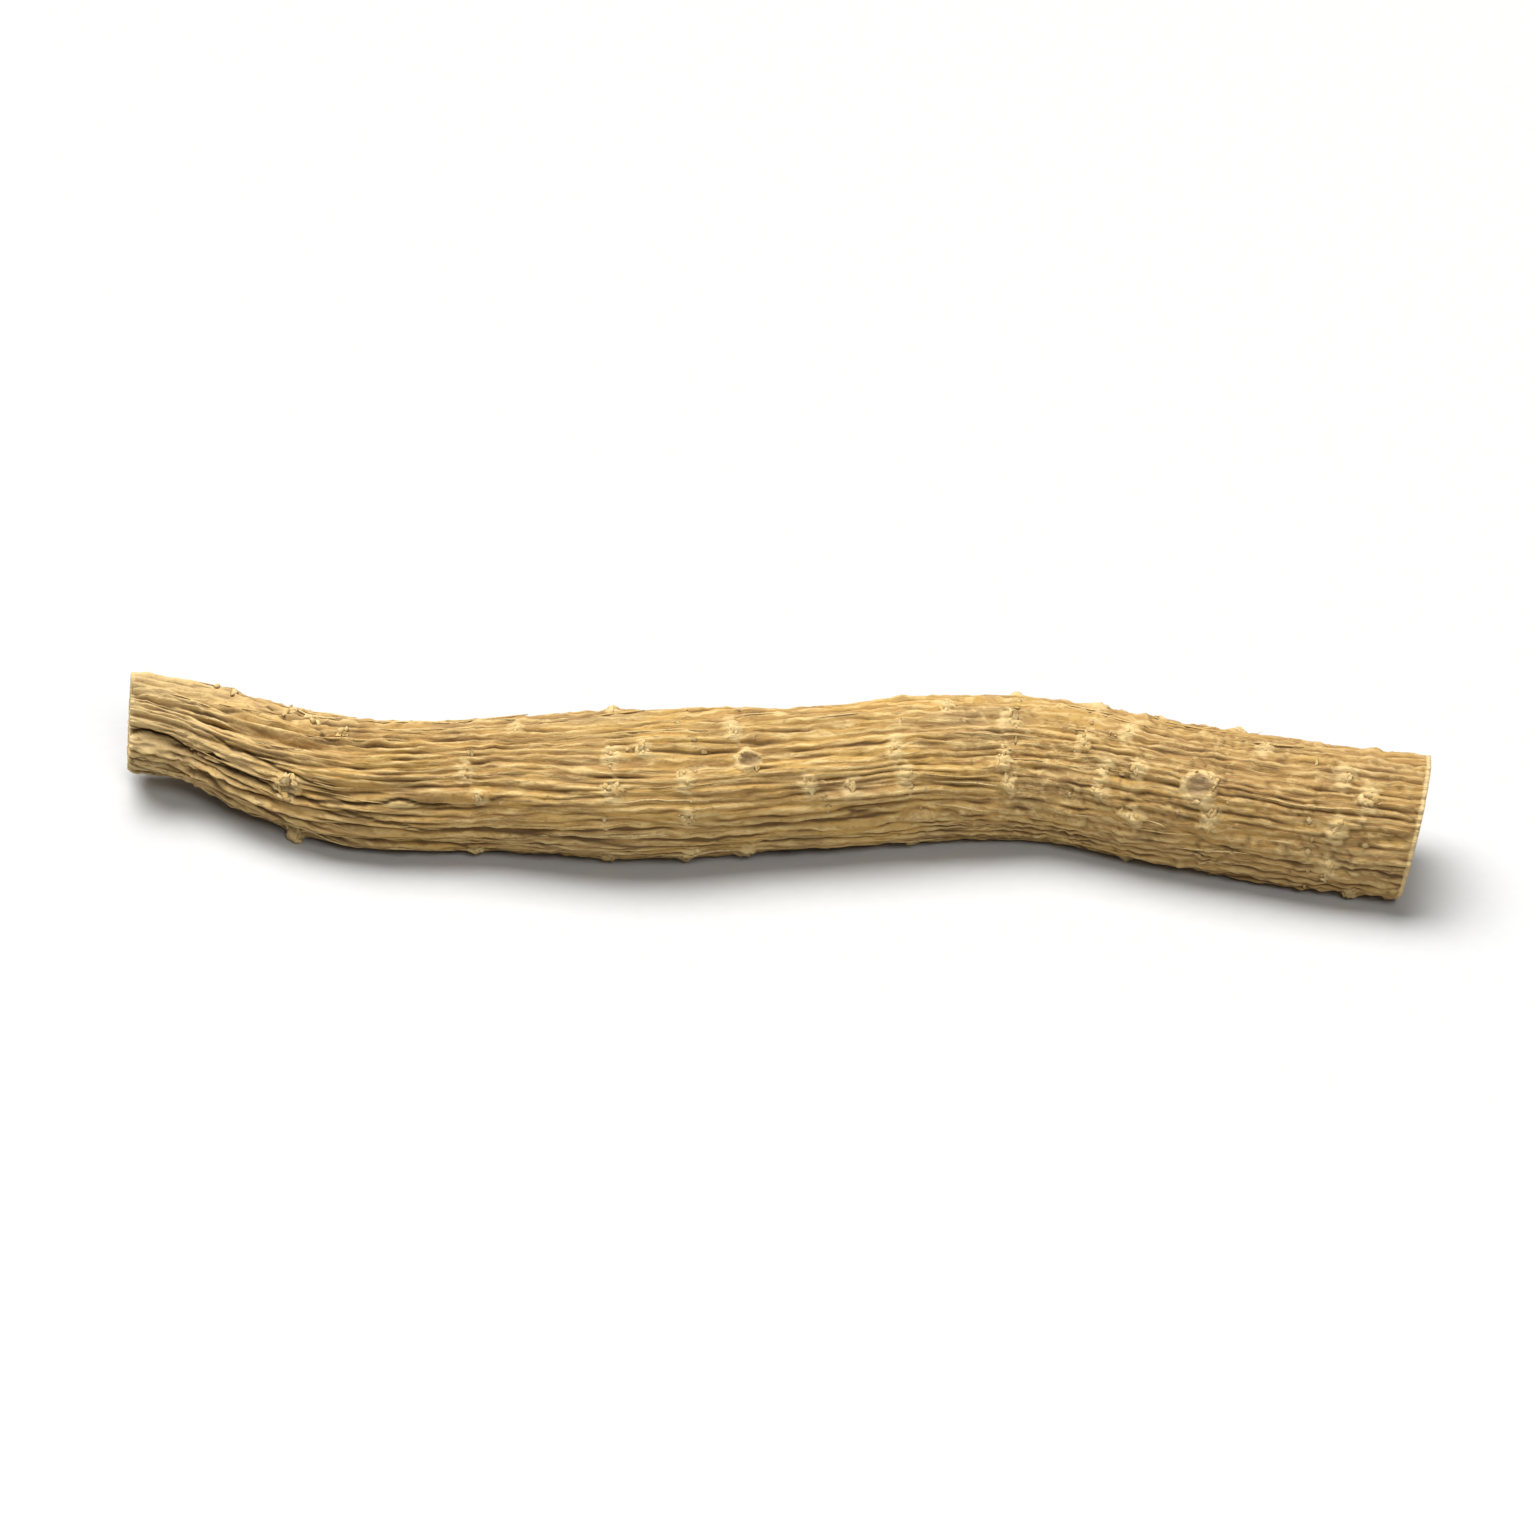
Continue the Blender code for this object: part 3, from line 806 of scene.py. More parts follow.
def lay_copies(name, model, copies, seed):
    """Copies of a small model, each with its own place and shape: distance, angle, length, width, height, turn
    and how ragged it is."""
    draw = np.random.default_rng(seed)
    base = points_of(model)
    spots, tones = [], []
    for at, towards, length, width, height, turn, ragged in copies:
        shape = base * (length, width, height)
        shape *= 1 + ragged * draw.uniform(-1, 1, (len(base), 1))
        shape[:, 2] += 0.5 * ragged * height * draw.uniform(-1, 1, len(base))
        along_here = shape[:, 0] * math.cos(turn) - shape[:, 1] * math.sin(turn)
        across_here = shape[:, 0] * math.sin(turn) + shape[:, 1] * math.cos(turn)
        spots.append(np.stack([at + along_here, np.full(len(base), towards), across_here, shape[:, 2]], axis=-1))
        tones.append(draw.random())
    return lay(name, model, *np.concatenate(spots).T, tones, 0.12)


# %% [markdown]
# ## Cork crusts
#
# A lenticel's cork dries to a cluster of pale lumps with dark cracks between them. One lump is a ball squashed
# to a loaf with its ends drawn out. It is copied to every lenticel three to seven times, each time longer,
# shorter or more crumbled, with a few loose crumbs around it. Small flat ones join the lenticels of a row, and
# larger ones make the knobs at the thin end crumbly. Each size is a range of lengths, widths and heights.

# %% Cork crusts
LUMPS = (3, 7)
LUMP_SPREAD = (0.24, 0.34)
LUMP_SIZE = ((0.12, 0.28), (0.14, 0.38), (0.09, 0.19))
LUMP_RAGGED = 0.32
CRUMBS_AROUND = (1, 4)
LOOSE_CRUMB_SIZE = ((0.07, 0.13),) * 3
CRUMB_REACH = (0.34, 0.42)
DASHES_IN_ROW = 12
DASHES_BETWEEN_ROWS = 30
DASH_STRAY = 0.34
DASH_SIZE = ((0.11, 0.24), (0.12, 0.30), (0.02, 0.05))
DASH_ASKEW = 0.15
NODULES = (
    (6.2, -33, 3), (11.0, -26, 4), (11.5, -15, 5), (12.8, -20, 4),
    (13.3, -10, 3), (15.7, 3, 4), (13.0, 68, 7), (13.1, 141, 5),
)
NODULE_SIZE = ((0.14, 0.34), (0.14, 0.34), (0.10, 0.22))
NODULE_SPREAD = (0.3, 0.3)


def loaf():
    """A squashed ball, 1 to each side, drawn out a little at its ends."""
    deselect_all()
    bpy.ops.mesh.primitive_uv_sphere_add(segments=8, ring_count=5, radius=1.0)
    model = bpy.context.object
    edit(model)
    select_edges(model, lambda a, b: min(a.y, b.y) > 0.3 or max(a.y, b.y) < -0.3)
    bpy.ops.transform.resize(value=(0.8, 1.15, 0.7), center_override=(0, 0, 0))
    bpy.ops.object.mode_set(mode="OBJECT")
    return model


draw = random.Random(SEED + 1)
crusts = []


def add_lumps(at, towards, strewn, count, sizes, askew=0.5):
    """A cluster of lumps round one place, strewn along and across the root, in millimetres."""
    for _ in range(count):
        spot = at + draw.gauss(0, strewn[0])
        turn = towards + draw.gauss(0, strewn[1]) / GRAIN_RADIUS
        size = [draw.uniform(*span) for span in sizes]
        crusts.append((spot, turn, *size, draw.uniform(-askew, askew), LUMP_RAGGED))


for at, towards, _, width, _ in LENTICEL_MOUNDS:
    share = width / LENTICEL[1] * draw.uniform(0.6, 1.2)
    add_lumps(at, towards, (LUMP_SPREAD[0], LUMP_SPREAD[1] * share), draw.randint(*LUMPS), LUMP_SIZE)
    add_lumps(at, towards, CRUMB_REACH, draw.randint(*CRUMBS_AROUND), LOOSE_CRUMB_SIZE)
for at, _ in LENTICEL_ROWS:
    for _ in range(DASHES_IN_ROW):
        add_lumps(at, draw.uniform(-math.pi, math.pi), (DASH_STRAY, 0.0), 1, DASH_SIZE, DASH_ASKEW)
for _ in range(DASHES_BETWEEN_ROWS):
    at, turn = draw.uniform(RINGS_FROM, LENGTH - 1), draw.uniform(-math.pi, math.pi)
    add_lumps(at, turn, (0.0, 0.0), 1, DASH_SIZE, DASH_ASKEW)
for at, degrees, count in NODULES:
    add_lumps(at, math.radians(degrees), NODULE_SPREAD, count, NODULE_SIZE)
cork_crusts = lay_copies("cork_crusts", loaf(), crusts, SEED)

# %% [markdown]
# ## Scar collars
#
# The collar round a rootlet scar is crumbly cork too. Small lumps are set round it like a ring of stones, each
# turned to lie along the ring. A ragged collar keeps most of them and lets them stray inwards. An even one has
# lost more than half.

# %% Lumps round the scars
LUMP_SPACING = 0.26
COLLAR_LUMP_SIZE = ((0.10, 0.20), (0.16, 0.34), (0.05, 0.13))
collar_lumps = []
for at, degrees, size, _, _, ragged in SCARS:
    lumps = round(2 * math.pi * size * 1.05 / LUMP_SPACING)
    for i in range(lumps):
        if draw.random() > 0.25 + ragged:
            continue
        way = 2 * math.pi * (i + draw.uniform(-0.25, 0.25)) / lumps
        reach = size * draw.uniform(1.15 - 0.35 * ragged, 1.4)
        spot = at + reach * math.cos(way)
        turn = mark_angle(degrees) + reach * math.sin(way) / mean_radius_at(at)
        shape = [draw.uniform(*span) for span in COLLAR_LUMP_SIZE]
        collar_lumps.append((spot, turn, *shape, way + draw.uniform(-0.5, 0.5), 0.3))
scar_collars = lay_copies("scar_collars", loaf(), collar_lumps, SEED + 5)

# %% [markdown]
# ## The broken rootlet
#
# One rootlet was broken off short instead of cut, low on the thin end. Its stub is a ring of twelve points drawn
# out in steps, each narrower or wider than the last. Its broken end is filled, inset and pushed in, and then every
# point is moved a little at random, which makes the break ragged.

# %% Stub of a rootlet
STUB = (13.2, 143, 0.52, 0.42, 0.50, 0.3, 0.26)
STUB_STEPS = ((0.35, 0.80), (0.25, 0.92), (0.25, 1.05), (0.2, 0.9), (0.15, 0.8))
STUB_FOOT = -0.2


def stub_model():
    """A ragged tube that stands up from its sunken foot to 1."""
    model = edit_circle(12, 1.35, height=STUB_FOOT)
    height = STUB_FOOT
    for rise, share in STUB_STEPS:
        height += rise
        extrude((0, 0, rise), (share, share, 1), (0, 0, height))
    close_ring([0.22], depth=-0.25)
    return model


at, degrees, *shape = STUB
rootlet_stub = lay_copies("rootlet_stub", stub_model(), [(at, mark_angle(degrees), *shape)], SEED + 8)

# %% [markdown]
# ## Loose fibres
#
# Where bark has been rubbed, single fibres lift from the ridge that they grew in. One fibre is a thin prism
# drawn out to a point at both ends. Each copy follows the crest of its ridge, and one end may stand off.

# %% Fibres along the ridges
FIBRE_STEPS = 9
FIBRE_COUNT = 190
FIBRE_LENGTH = (1.5, 7.0)
FIBRE_RADIUS = (0.04, 0.095)
FIBRE_LIFT = 0.12
THIN_END_FIBRES = 75
HAIRS = 9
HAIR_LENGTH = (1.2, 3.2)
HAIR_RADIUS = 0.028
HAIR_RISE = 0.8


def crest_near(distance, angle):
    """The angle of the nearest ridge crest."""
    for _ in range(3):
        off_crest = ridge_phase(distance, angle) % math.pi - math.pi / 2
        angle = angle - off_crest / (RIDGES_ROUND / 2)
    return angle


def prism(steps):
    """A thin four-sided prism along x from 0 to 1."""
    model = edit_circle(4, 1.0, tipped=math.pi / 2)
    bpy.ops.mesh.edge_face_add()
    bpy.ops.mesh.select_all(action="SELECT")
    for _ in range(steps):
        extrude((1 / steps, 0, 0))
    bpy.ops.object.mode_set(mode="OBJECT")
    return model


def grow_fibres(name, distance, angle, lengths, radii, free_end, curl):
    """Thin prisms that follow the ridges. Each free end stands off the bark, on a curve of this power."""
    model = prism(FIBRE_STEPS)
    share, across, up = points_of(model).T[:, :, None]
    tracks = []
    for _ in range(FIBRE_STEPS + 1):
        angle = crest_near(distance, angle)
        tracks.append((distance, angle))
        distance = np.clip(distance + lengths / FIBRE_STEPS, 0.05, LENGTH - 0.05)
    step = np.rint(share[:, 0] * FIBRE_STEPS).astype(int)
    track_distance, track_angle = (np.array(track)[step] for track in zip(*tracks))
    girth = np.sin(np.pi * np.clip(share, 0.03, 0.97)) ** 0.5 * radii
    on_bark = (track_distance, track_angle, across * girth, up * girth + free_end * share**curl)
    tones = np.random.default_rng(SEED).random(len(radii))
    return lay(name, model, *(value.T.ravel() for value in on_bark), tones, 0.1)


pick = np.random.default_rng(SEED + 6)
fibre_starts = pick.uniform(1, LENGTH - 3, FIBRE_COUNT)
fibre_starts[:THIN_END_FIBRES] = pick.uniform(0.1, 20, THIN_END_FIBRES)
fibre_turns = pick.uniform(-math.pi, math.pi, FIBRE_COUNT)
free_end = pick.uniform(0, 1, FIBRE_COUNT) ** 4 * FIBRE_LIFT
lengths, radii = pick.uniform(*FIBRE_LENGTH, FIBRE_COUNT), pick.uniform(*FIBRE_RADIUS, FIBRE_COUNT)
fibres = grow_fibres("bark_fibres", fibre_starts, fibre_turns, lengths, radii, free_end, 3)
hair_rise = pick.uniform(0.3, 1.0, HAIRS) * HAIR_RISE
starts, turns = pick.uniform(3, LENGTH - 6, HAIRS), pick.uniform(-1.6, 2.2, HAIRS)
lengths, radii = pick.uniform(*HAIR_LENGTH, HAIRS), np.full(HAIRS, HAIR_RADIUS)
hairs = grow_fibres("root_hairs", starts, turns, lengths, radii, hair_rise, 2)

# %% [markdown]
# ## The cut faces
#
# A knife leaves the bark proud, because the softer ring behind it dries back. The woody middle is pale, and the
# vessels outside it show as two to four broken rings of yellowish dots, the sign by which this root is told
# from others. Each face is a disc of its own, filled and inset ring by ring, that sits in the seat behind the
# bark's lip. The dots stand a few hundredths of a millimetre above the flesh between them.

# %% The two cut faces
SPOKES = 220
FACE_RINGS = 56
FACE_SHARE = 0.945
CUT_PROFILE = ((0.0, 0.14, 0.42, 0.74, 0.80, 0.90, 0.945), (0.3, 0.05, 0.0, 0.02, 0.16, 0.03, 0.10))
VESSEL_RINGS = ((0.34, 9), (0.47, 15), (0.60, 21), (0.70, 26))
VESSEL_RADIUS = 0.15
VESSEL_MISSING = 0.18
VESSEL_RISE = 0.05
CUT_CRACKS = 7
CUT_CRACK_DEPTH = 0.14
CUT_CRACK_HALF_WIDTH = 0.07
KNIFE_LINES = 0.02


def vessels(share, angle, radius, draw):
    """The dots of sap vessels on one cut face: 1 in the middle of a dot."""
    found = np.zeros_like(share)
    for ring_share, count in VESSEL_RINGS:
        for i in range(count):
            towards = 2 * math.pi * (i + draw.uniform(-0.3, 0.3)) / count
            out = ring_share + draw.uniform(-0.025, 0.025)
            size = VESSEL_RADIUS * draw.uniform(0.6, 1.25)
            if draw.random() < VESSEL_MISSING:
                continue
            across = turn_between(angle, towards) * out * radius
            found = np.maximum(found, bump(np.hypot((share - out) * radius, across) / size, 1.0))
    return found


def radial_cracks(share, angle, radius, draw):
    """Short drying cracks that run out from the woody middle."""
    found = np.zeros_like(share)
    for _ in range(CUT_CRACKS):
        towards, start = draw.uniform(-math.pi, math.pi), draw.uniform(0.12, 0.4)
        end = start + draw.uniform(0.15, 0.4)
        wander = 0.08 * np.sin(share * draw.uniform(14, 30))
        across = np.abs(turn_between(angle, towards + wander)) * share * radius
        along_crack = clamp((share - start) / 0.05) * clamp((end - share) / 0.1)
        found = np.maximum(found, bump(across / CUT_CRACK_HALF_WIDTH, 1.0) * along_crack)
    return found


def cut_face(name, at, seed):
    radius = mean_radius_at(at)
    disc = edit_circle(SPOKES, 1.0)
    disc.name = name
    close_ring([1 / (FACE_RINGS + 1)] * FACE_RINGS)
    x, y, _ = points_of(disc).T
    share, angle = np.hypot(x, y) * FACE_SHARE, np.arctan2(y, x)
    distance = np.full_like(share, at)
    draw = random.Random(seed)
    dots = vessels(share, angle, radius, draw)
    cracks = radial_cracks(share, angle, radius, draw)
    flesh = crumb(distance, angle, share * radius, 0.5) * 0.05 + crumb(distance, angle, share * radius, 0.2) * 0.03
    drag = np.sin(share * radius * np.sin(angle + 0.6) * 16) * KNIFE_LINES
    depth = np.interp(share, *CUT_PROFILE) + cracks * CUT_CRACK_DEPTH - flesh - drag - VESSEL_RISE * dots
    places = place(bend(distance, angle, coarse_radius(distance, angle) * share, depth))
    disc.data.vertices.foreach_set("co", places.ravel())
    keep_mask(disc, "share_out", share)
    keep_mask(disc, "vessel", dots)
    keep_mask(disc, "crack", cracks)
    keep_straightened(disc, distance, angle, share * radius)
    if (disc.data.polygons[0].normal.x > 0) != (at > LENGTH / 2):
        disc.data.flip_normals()
    bpy.ops.object.shade_smooth()
    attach(disc, "root")
    return disc


cut_faces = [cut_face("thin_cut_face", 0.0, SEED + 2), cut_face("thick_cut_face", LENGTH, SEED + 3)]
print("each cut face:", len(cut_faces[0].data.polygons), "faces")

# %% [markdown]
# ## Grain for the colours
#
# Bark and cut wood share one kind of pattern: streaks that run with the fibres. A node group makes it once. It
# reads the straightened root, squeezes it along its length, and gives streaks of any run and width.

# %% Node group: streaks along the fibres


def fill(tree, node, inputs):
    """Gives inputs of a node their values, or links them where the value is another node's output."""
    for name, value in inputs.items():
        if isinstance(value, bpy.types.NodeSocket):
            tree.links.new(value, node.inputs[name])
        else:
            node.inputs[name].default_value = value


def add_node(tree, kind, inputs=None, **settings):
    made = tree.nodes.new(kind)
    for name, value in settings.items():
        setattr(made, name, value)
    fill(tree, made, inputs or {})
    return made


def build_streaks():
    group = bpy.data.node_groups.new("streaks along the fibres", "ShaderNodeTree")
    for name in ("Run", "Width", "Detail"):
        group.interface.new_socket(name, in_out="INPUT", socket_type="NodeSocketFloat")
    group.interface.new_socket("Streaks", in_out="OUTPUT", socket_type="NodeSocketFloat")
    run, width, detail = add_node(group, "NodeGroupInput").outputs[:3]
    straight = add_node(group, "ShaderNodeAttribute", attribute_name="straightened").outputs["Vector"]
    size = add_node(group, "ShaderNodeCombineXYZ", {"X": run, "Y": width, "Z": width}).outputs["Vector"]
    squeezed = add_node(group, "ShaderNodeVectorMath", {0: straight, 1: size}, operation="DIVIDE").outputs["Vector"]
    settings = {"Vector": squeezed, "Scale": 1.0, "Detail": detail, "Roughness": 0.6}
    pattern = add_node(group, "ShaderNodeTexNoise", settings)
    add_node(group, "NodeGroupOutput", {"Streaks": pattern.outputs["Fac"]})
    return group


STREAKS = build_streaks()
print("group:", STREAKS.name)

# %% [markdown]
# ## Painting with masks and streaks
#
# Every finish here is painted the same way: a ground colour, and then one layer of colour over another, each
# shown by a value that changes over the surface. That value is a mask, given by its name, or streaks, given by
# their run, width and detail, and it is stretched so that the layer fades in between two levels.

# %% Helpers that paint
MIX_SHARE, MIX_UNDER, MIX_OVER, MIX_RESULT = 0, 6, 7, 2
BUMP_STRENGTH = 0.9
PLAIN_DETAIL = 2.0


def new_material(name, specular):
    """A new material, with its node tree and its surface shader."""
    material = bpy.data.materials.new(name)
    material.use_nodes = True
    surface = material.node_tree.nodes["Principled BSDF"]
    surface.inputs["Specular IOR Level"].default_value = specular
    return material, material.node_tree, surface


def value_of(tree, source):
    """The socket of a mask given by its name, or of streaks given by run and width, in millimetres, and maybe
    detail. A socket stays itself."""
    if isinstance(source, str):
        return add_node(tree, "ShaderNodeAttribute", attribute_name=source).outputs["Fac"]
    if isinstance(source, tuple):
        run, width, detail = (*source, PLAIN_DETAIL)[:3]
        inputs = {"Run": run * MM, "Width": width * MM, "Detail": detail}
        return add_node(tree, "ShaderNodeGroup", inputs, node_tree=STREAKS).outputs["Streaks"]
    return source


def spread(tree, source, low, high, to_high=1.0, to_low=0.0):
    """Stretches a value so that low becomes to_low and high becomes to_high."""
    levels = {"From Min": low, "From Max": high, "To Min": to_low, "To Max": to_high}
    return add_node(tree, "ShaderNodeMapRange", {"Value": value_of(tree, source), **levels}).outputs["Result"]


def combine(tree, operation, first, second):
    inputs = {0: value_of(tree, first), 1: value_of(tree, second)}
    return add_node(tree, "ShaderNodeMath", inputs, operation=operation).outputs["Value"]


def paint(tree, ground, layers):
    """Lays colours over a ground. A layer is its colour, what shows it, and the levels that this is spread to."""
    under = (*ground, 1.0)
    for over, source, *levels in layers:
        inputs = {MIX_SHARE: spread(tree, source, *levels), MIX_UNDER: under, MIX_OVER: (*over, 1.0)}
        under = add_node(tree, "ShaderNodeMix", inputs, data_type="RGBA").outputs[MIX_RESULT]
    return under


def roughen(tree, surface, layers):
    """Bumps too fine for the mesh. Each layer is a run, a width and a depth in millimetres."""
    normal = {}
    for run, width, depth in layers:
        inputs = {"Strength": BUMP_STRENGTH, "Distance": depth * MM, "Height": value_of(tree, (run, width, 3.0))}
        normal = {"Normal": add_node(tree, "ShaderNodeBump", inputs | normal).outputs["Normal"]}
    fill(tree, surface, normal)


print(len(root.data.attributes), "attributes on the root to paint with")

# %% [markdown]
# ## Dried bark
#
# Dried bark is matt and tan. Its ridges are rubbed pale and carry a painted highlight. Painted shade darkens the
# furrows, splits, cracks and rings, the more so on the lower side, and the whole thick end a little. The cork of
# the lenticels is a cooler cream. Long streaks break the tan up. All of it is mixed from the masks and the
# streaks, and the finest fibres, thinner than a face of the mesh, are left to a bump.

# %% Material: dried bark
TAN = (0.378, 0.223, 0.072)
GOLDEN_TAN = (0.450, 0.270, 0.074)
DEEP_TAN = (0.257, 0.144, 0.048)
GREY_TAN = (0.288, 0.194, 0.088)
PALE_TAN = (0.540, 0.395, 0.190)
# Pale of rubbed ridges, and also a painted highlight on crests and knuckle tops.
RUBBED_AND_HIGHLIT_RIDGE = (0.612, 0.441, 0.189)
# Dark brown of the painted shade in furrows, cracks and ring grooves.
FURROW_SHADE_BROWN = (0.081, 0.042, 0.014)
CORK_CREAM = (0.630, 0.473, 0.225)
SCAR_BROWN = (0.297, 0.207, 0.113)
RIM_PALE = (0.576, 0.427, 0.211)


def build_bark():
    material, tree, surface = new_material("dried bark", 0.2)
    rubbed_and_highlit = combine(tree, "MULTIPLY", "ridge", spread(tree, (1.6, 0.24, 3.0), 0.46, 0.6, 0.85))
    knuckle = combine(tree, "MULTIPLY", "knuckle", spread(tree, (0.7, 0.5, 3.0), 0.4, 0.6))
    scar = combine(tree, "MULTIPLY", "scar", spread(tree, (0.2, 0.2, 3.0), 0.3, 0.6, 0.6, 1.0))
    rim = combine(tree, "ADD", "rim", spread(tree, (0.8, 0.3, 3.0), 0.3, 0.7, 0.07, -0.07))
    layers = (
        (GOLDEN_TAN, (11.0, 2.5), 0.42, 0.58),
        (GREY_TAN, (7.0, 3.1), 0.5, 0.68, 0.7),
        (DEEP_TAN, (3.0, 0.45, 3.0), 0.48, 0.68, 0.9),
        (PALE_TAN, "thin_end", 0.0, 1.0, 0.8),
        # Pale streaks on the ridges: rubbed wear and a painted highlight.
        (RUBBED_AND_HIGHLIT_RIDGE, rubbed_and_highlit, 0.0, 1.0),
        # Pale knuckle tops: rubbed wear and a painted highlight.
        (RUBBED_AND_HIGHLIT_RIDGE, knuckle, 0.35, 0.8, 0.75),
        # Painted shade over the thick end.
        (DEEP_TAN, "thick_end", 0.0, 1.0, 0.36),
        # Painted highlight along the crests, with rubbed wear.
        (RUBBED_AND_HIGHLIT_RIDGE, "ridge", 0.66, 0.95, 0.25),
        (DEEP_TAN, (0.5, 0.22, 3.0), 0.56, 0.7, 0.6),
        # Painted shade in the furrows, splits, cracks and round the scar pits.
        (FURROW_SHADE_BROWN, "furrow", 0.2, 0.66, 0.85),
        # Painted shade in the ring grooves.
        (FURROW_SHADE_BROWN, "ring", 0.1, 0.9, 0.5),
        (CORK_CREAM, "cork", 0.2, 0.9, 0.7),
        (SCAR_BROWN, scar, 0.3, 0.9, 0.95),
        (RIM_PALE, rim, 0.36, 0.5, 0.85),
    )
    roughness = spread(tree, (3.0, 0.4), 0.3, 0.7, 0.9, 0.68)
    fill(tree, surface, {"Base Color": paint(tree, TAN, layers), "Roughness": roughness})
    roughen(tree, surface, ((2.6, 0.3, 0.12), (1.6, 0.13, 0.06), (0.4, 0.2, 0.08)))
    return material


root.data.materials.append(build_bark())
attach(root, "root")
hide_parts("achyranthes_root")
print("material:", root.data.materials[0].name)

# %% [markdown]
# ## Cork
#
# Cork is cream, chalky and a little uneven. Close to the bark it is painted darker, as shade between the lumps,
# and no two lumps have quite the same tone. Fibres and hairs are made of the same pale stuff, so they share it.

# %% Material: cork
# A darker cork, for its uneven tone and for the painted shade close to the bark.
CORK_TONE_AND_SHADE = (0.279, 0.180, 0.077)


def build_cork():
    material, tree, surface = new_material("pale cork", 0.2)
    layers = (
        (GOLDEN_TAN, "tone", 0.1, 1.0, 0.75),
        (CORK_TONE_AND_SHADE, (0.2, 0.16, 3.0), 0.5, 0.66, 0.7),
        # Painted shade close to the bark, where the lift is low.
        (CORK_TONE_AND_SHADE, "lift", 0.45, 0.0, 0.8),
    )
    roughness = spread(tree, (0.3, 0.3), 0.3, 0.7, 0.95, 0.75)
    fill(tree, surface, {"Base Color": paint(tree, CORK_CREAM, layers), "Roughness": roughness})
    roughen(tree, surface, ((0.14, 0.14, 0.05),))
    return material


CORK = build_cork()
for piece in (cork_crusts, scar_collars, rootlet_stub, fibres, hairs):
    piece.data.materials.append(CORK)
print("material:", CORK.name)

# %% [markdown]
# ## Cut wood
#
# The cut face is light brown, slightly horny flesh with a cream, woody middle and yellowish vessel dots. Just
# inside the bark runs a darker ring that dried back furthest. The colours follow the share of the way out to the
# rim, and short streaks break up their edges.

# %% Material: cut wood
CORE_CREAM = (0.68, 0.55, 0.32)
FLESH = (0.49, 0.36, 0.185)
RING_BROWN = (0.20, 0.12, 0.05)
CUT_BARK = (0.46, 0.31, 0.13)
VESSEL_CREAM = (0.68, 0.55, 0.28)
PITH_OCHRE = (0.34, 0.22, 0.085)
EDGE_WANDER = 0.14


def build_cut_wood():
    material, tree, surface = new_material("cut wood", 0.3)
    inputs = {0: value_of(tree, (1.5, 0.5, 3.0)), 1: EDGE_WANDER, 2: value_of(tree, "share_out")}
    share = add_node(tree, "ShaderNodeMath", inputs, operation="MULTIPLY_ADD").outputs["Value"]
    layers = (
        (FLESH, share, 0.30, 0.44),
        (PITH_OCHRE, share, 0.17, 0.10, 0.8),
        (VESSEL_CREAM, "vessel", 0.1, 0.5, 0.9),
        (RING_BROWN, share, 0.82, 0.87, 0.75),
        (CUT_BARK, share, 0.91, 0.94, 0.9),
        # Painted shade in the drying cracks.
        (RING_BROWN, "crack", 0.2, 0.8, 0.9),
        (RING_BROWN, (0.3, 0.14, 3.0), 0.5, 0.66, 0.6),
    )
    roughness = spread(tree, (0.6, 0.3), 0.3, 0.7, 0.8, 0.5)
    fill(tree, surface, {"Base Color": paint(tree, CORE_CREAM, layers), "Roughness": roughness})
    roughen(tree, surface, ((0.3, 0.25, 0.06), (0.2, 0.1, 0.04)))
    return material


CUT_WOOD = build_cut_wood()
for piece in cut_faces:
    piece.data.materials.append(CUT_WOOD)
print("material:", CUT_WOOD.name)

# %% [markdown]
# ## Table, light and camera
#
# The root lies on a plain white table. One broad soft sun stands almost overhead, a little behind and to the
# left, and a weaker one shines from the front, so that the wrinkles throw short soft shadows. The camera looks
# down at it with a long lens, from a little to the right.

# %% Table
TABLE_WHITE = (0.495, 0.495, 0.491)
TABLE_SHADE = (0.482, 0.482, 0.478)
TABLE_SIZE = 4.0
PAPER_SCALE = 900.0

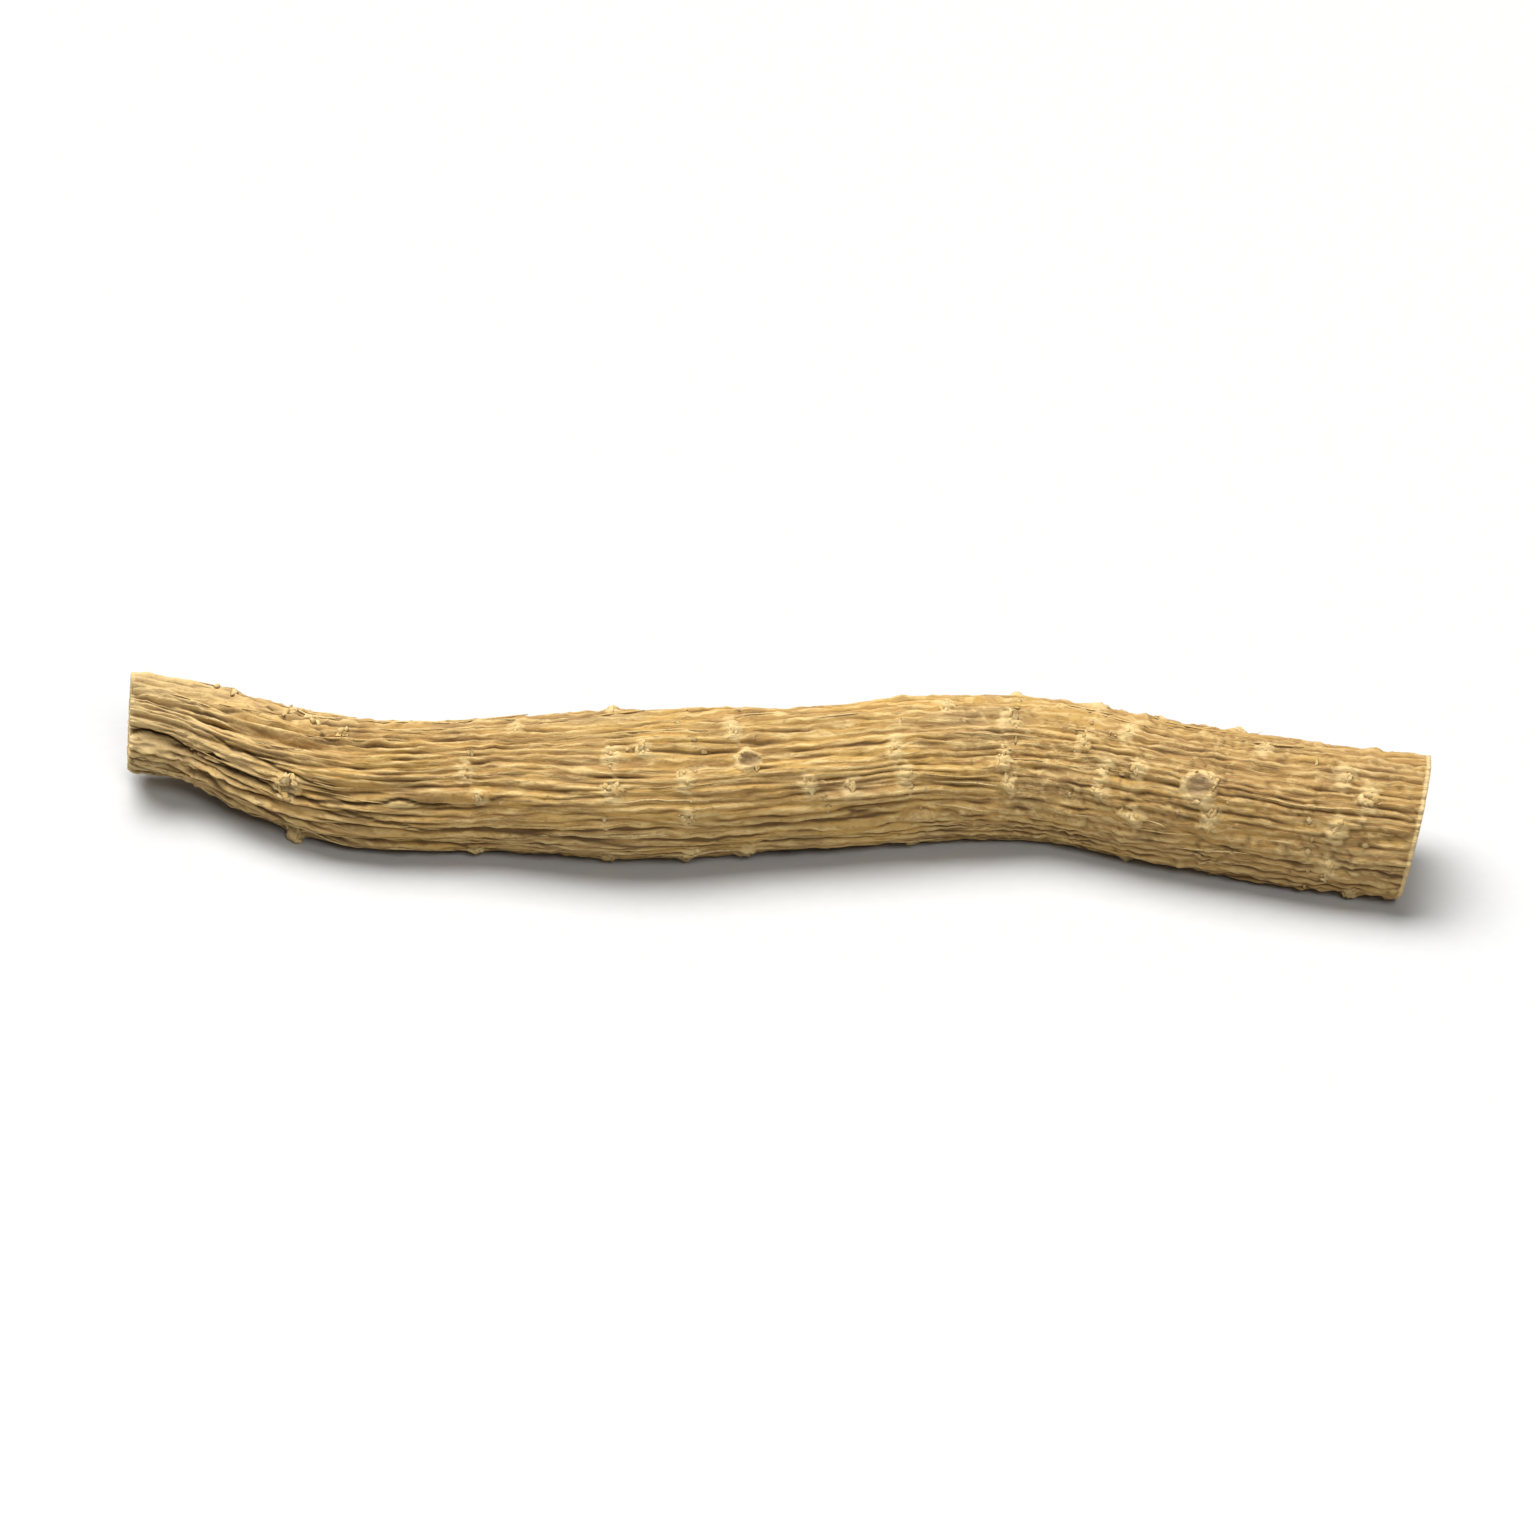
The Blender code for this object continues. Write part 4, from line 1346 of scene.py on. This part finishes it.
deselect_all()
bpy.ops.mesh.primitive_plane_add(size=TABLE_SIZE)
table = bpy.context.object
table.name = "table"
table_top, tree, surface = new_material("white table", 0.3)
places = add_node(tree, "ShaderNodeTexCoord").outputs["Object"]
paper = add_node(tree, "ShaderNodeTexNoise", {"Vector": places, "Scale": PAPER_SCALE, "Detail": 3.0})
tint = paint(tree, TABLE_WHITE, ((TABLE_SHADE, paper.outputs["Fac"], 0.3, 0.7),))
fill(tree, surface, {"Base Color": tint, "Roughness": 0.6})
table.data.materials.append(table_top)
print("table:", TABLE_SIZE, "m across")

# %% Light
SUNS = (
    ("soft sun above", (-0.26, 0.20, 0.95), 5.5, 50),
    ("weak front light", (0.30, -0.62, 0.72), 1.15, 20),
)
SKY = 0.14
SKY_COLOUR = (1.0, 0.99, 0.975, 1)


def aim(thing, target):
    thing.rotation_euler = (Vector(target) - thing.location).to_track_quat("-Z", "Y").to_euler()


for name, where, power, soft_degrees in SUNS:
    lamp = bpy.data.objects.new(name, bpy.data.lights.new(name, "SUN"))
    lamp.data.energy = power
    lamp.data.angle = math.radians(soft_degrees)
    lamp.location = where
    aim(lamp, (0, 0, 0))
    bpy.context.scene.collection.objects.link(lamp)
sky = bpy.data.worlds.new("pale studio")
sky.use_nodes = True
fill(sky.node_tree, sky.node_tree.nodes["Background"], {"Color": SKY_COLOUR, "Strength": SKY})
bpy.context.scene.world = sky
bpy.context.scene.view_settings.view_transform = "Standard"
print(len(SUNS), "suns and a sky of strength", SKY)

# %% Camera
AZIMUTH = math.radians(8)
ELEVATION = math.radians(34)
LENS = 180
SENSOR = 36
ROOT_SHARE_OF_WIDTH = 0.86

camera = bpy.data.objects.new("camera", bpy.data.cameras.new("camera"))
bpy.context.scene.collection.objects.link(camera)
camera.data.lens = LENS
camera.data.sensor_width = SENSOR
away = (solid_high.x - solid_low.x) / ROOT_SHARE_OF_WIDTH * LENS / SENSOR
sideways, forwards = math.sin(AZIMUTH) * math.cos(ELEVATION), -math.cos(AZIMUTH) * math.cos(ELEVATION)
look_at = (solid_low + solid_high) / 2
camera.location = look_at + Vector((sideways, forwards, math.sin(ELEVATION))) * away
aim(camera, look_at)
camera.data.clip_start = 0.01
camera.data.clip_end = 20
bpy.context.scene.camera = camera
print("camera is", round(away, 3), "m away")
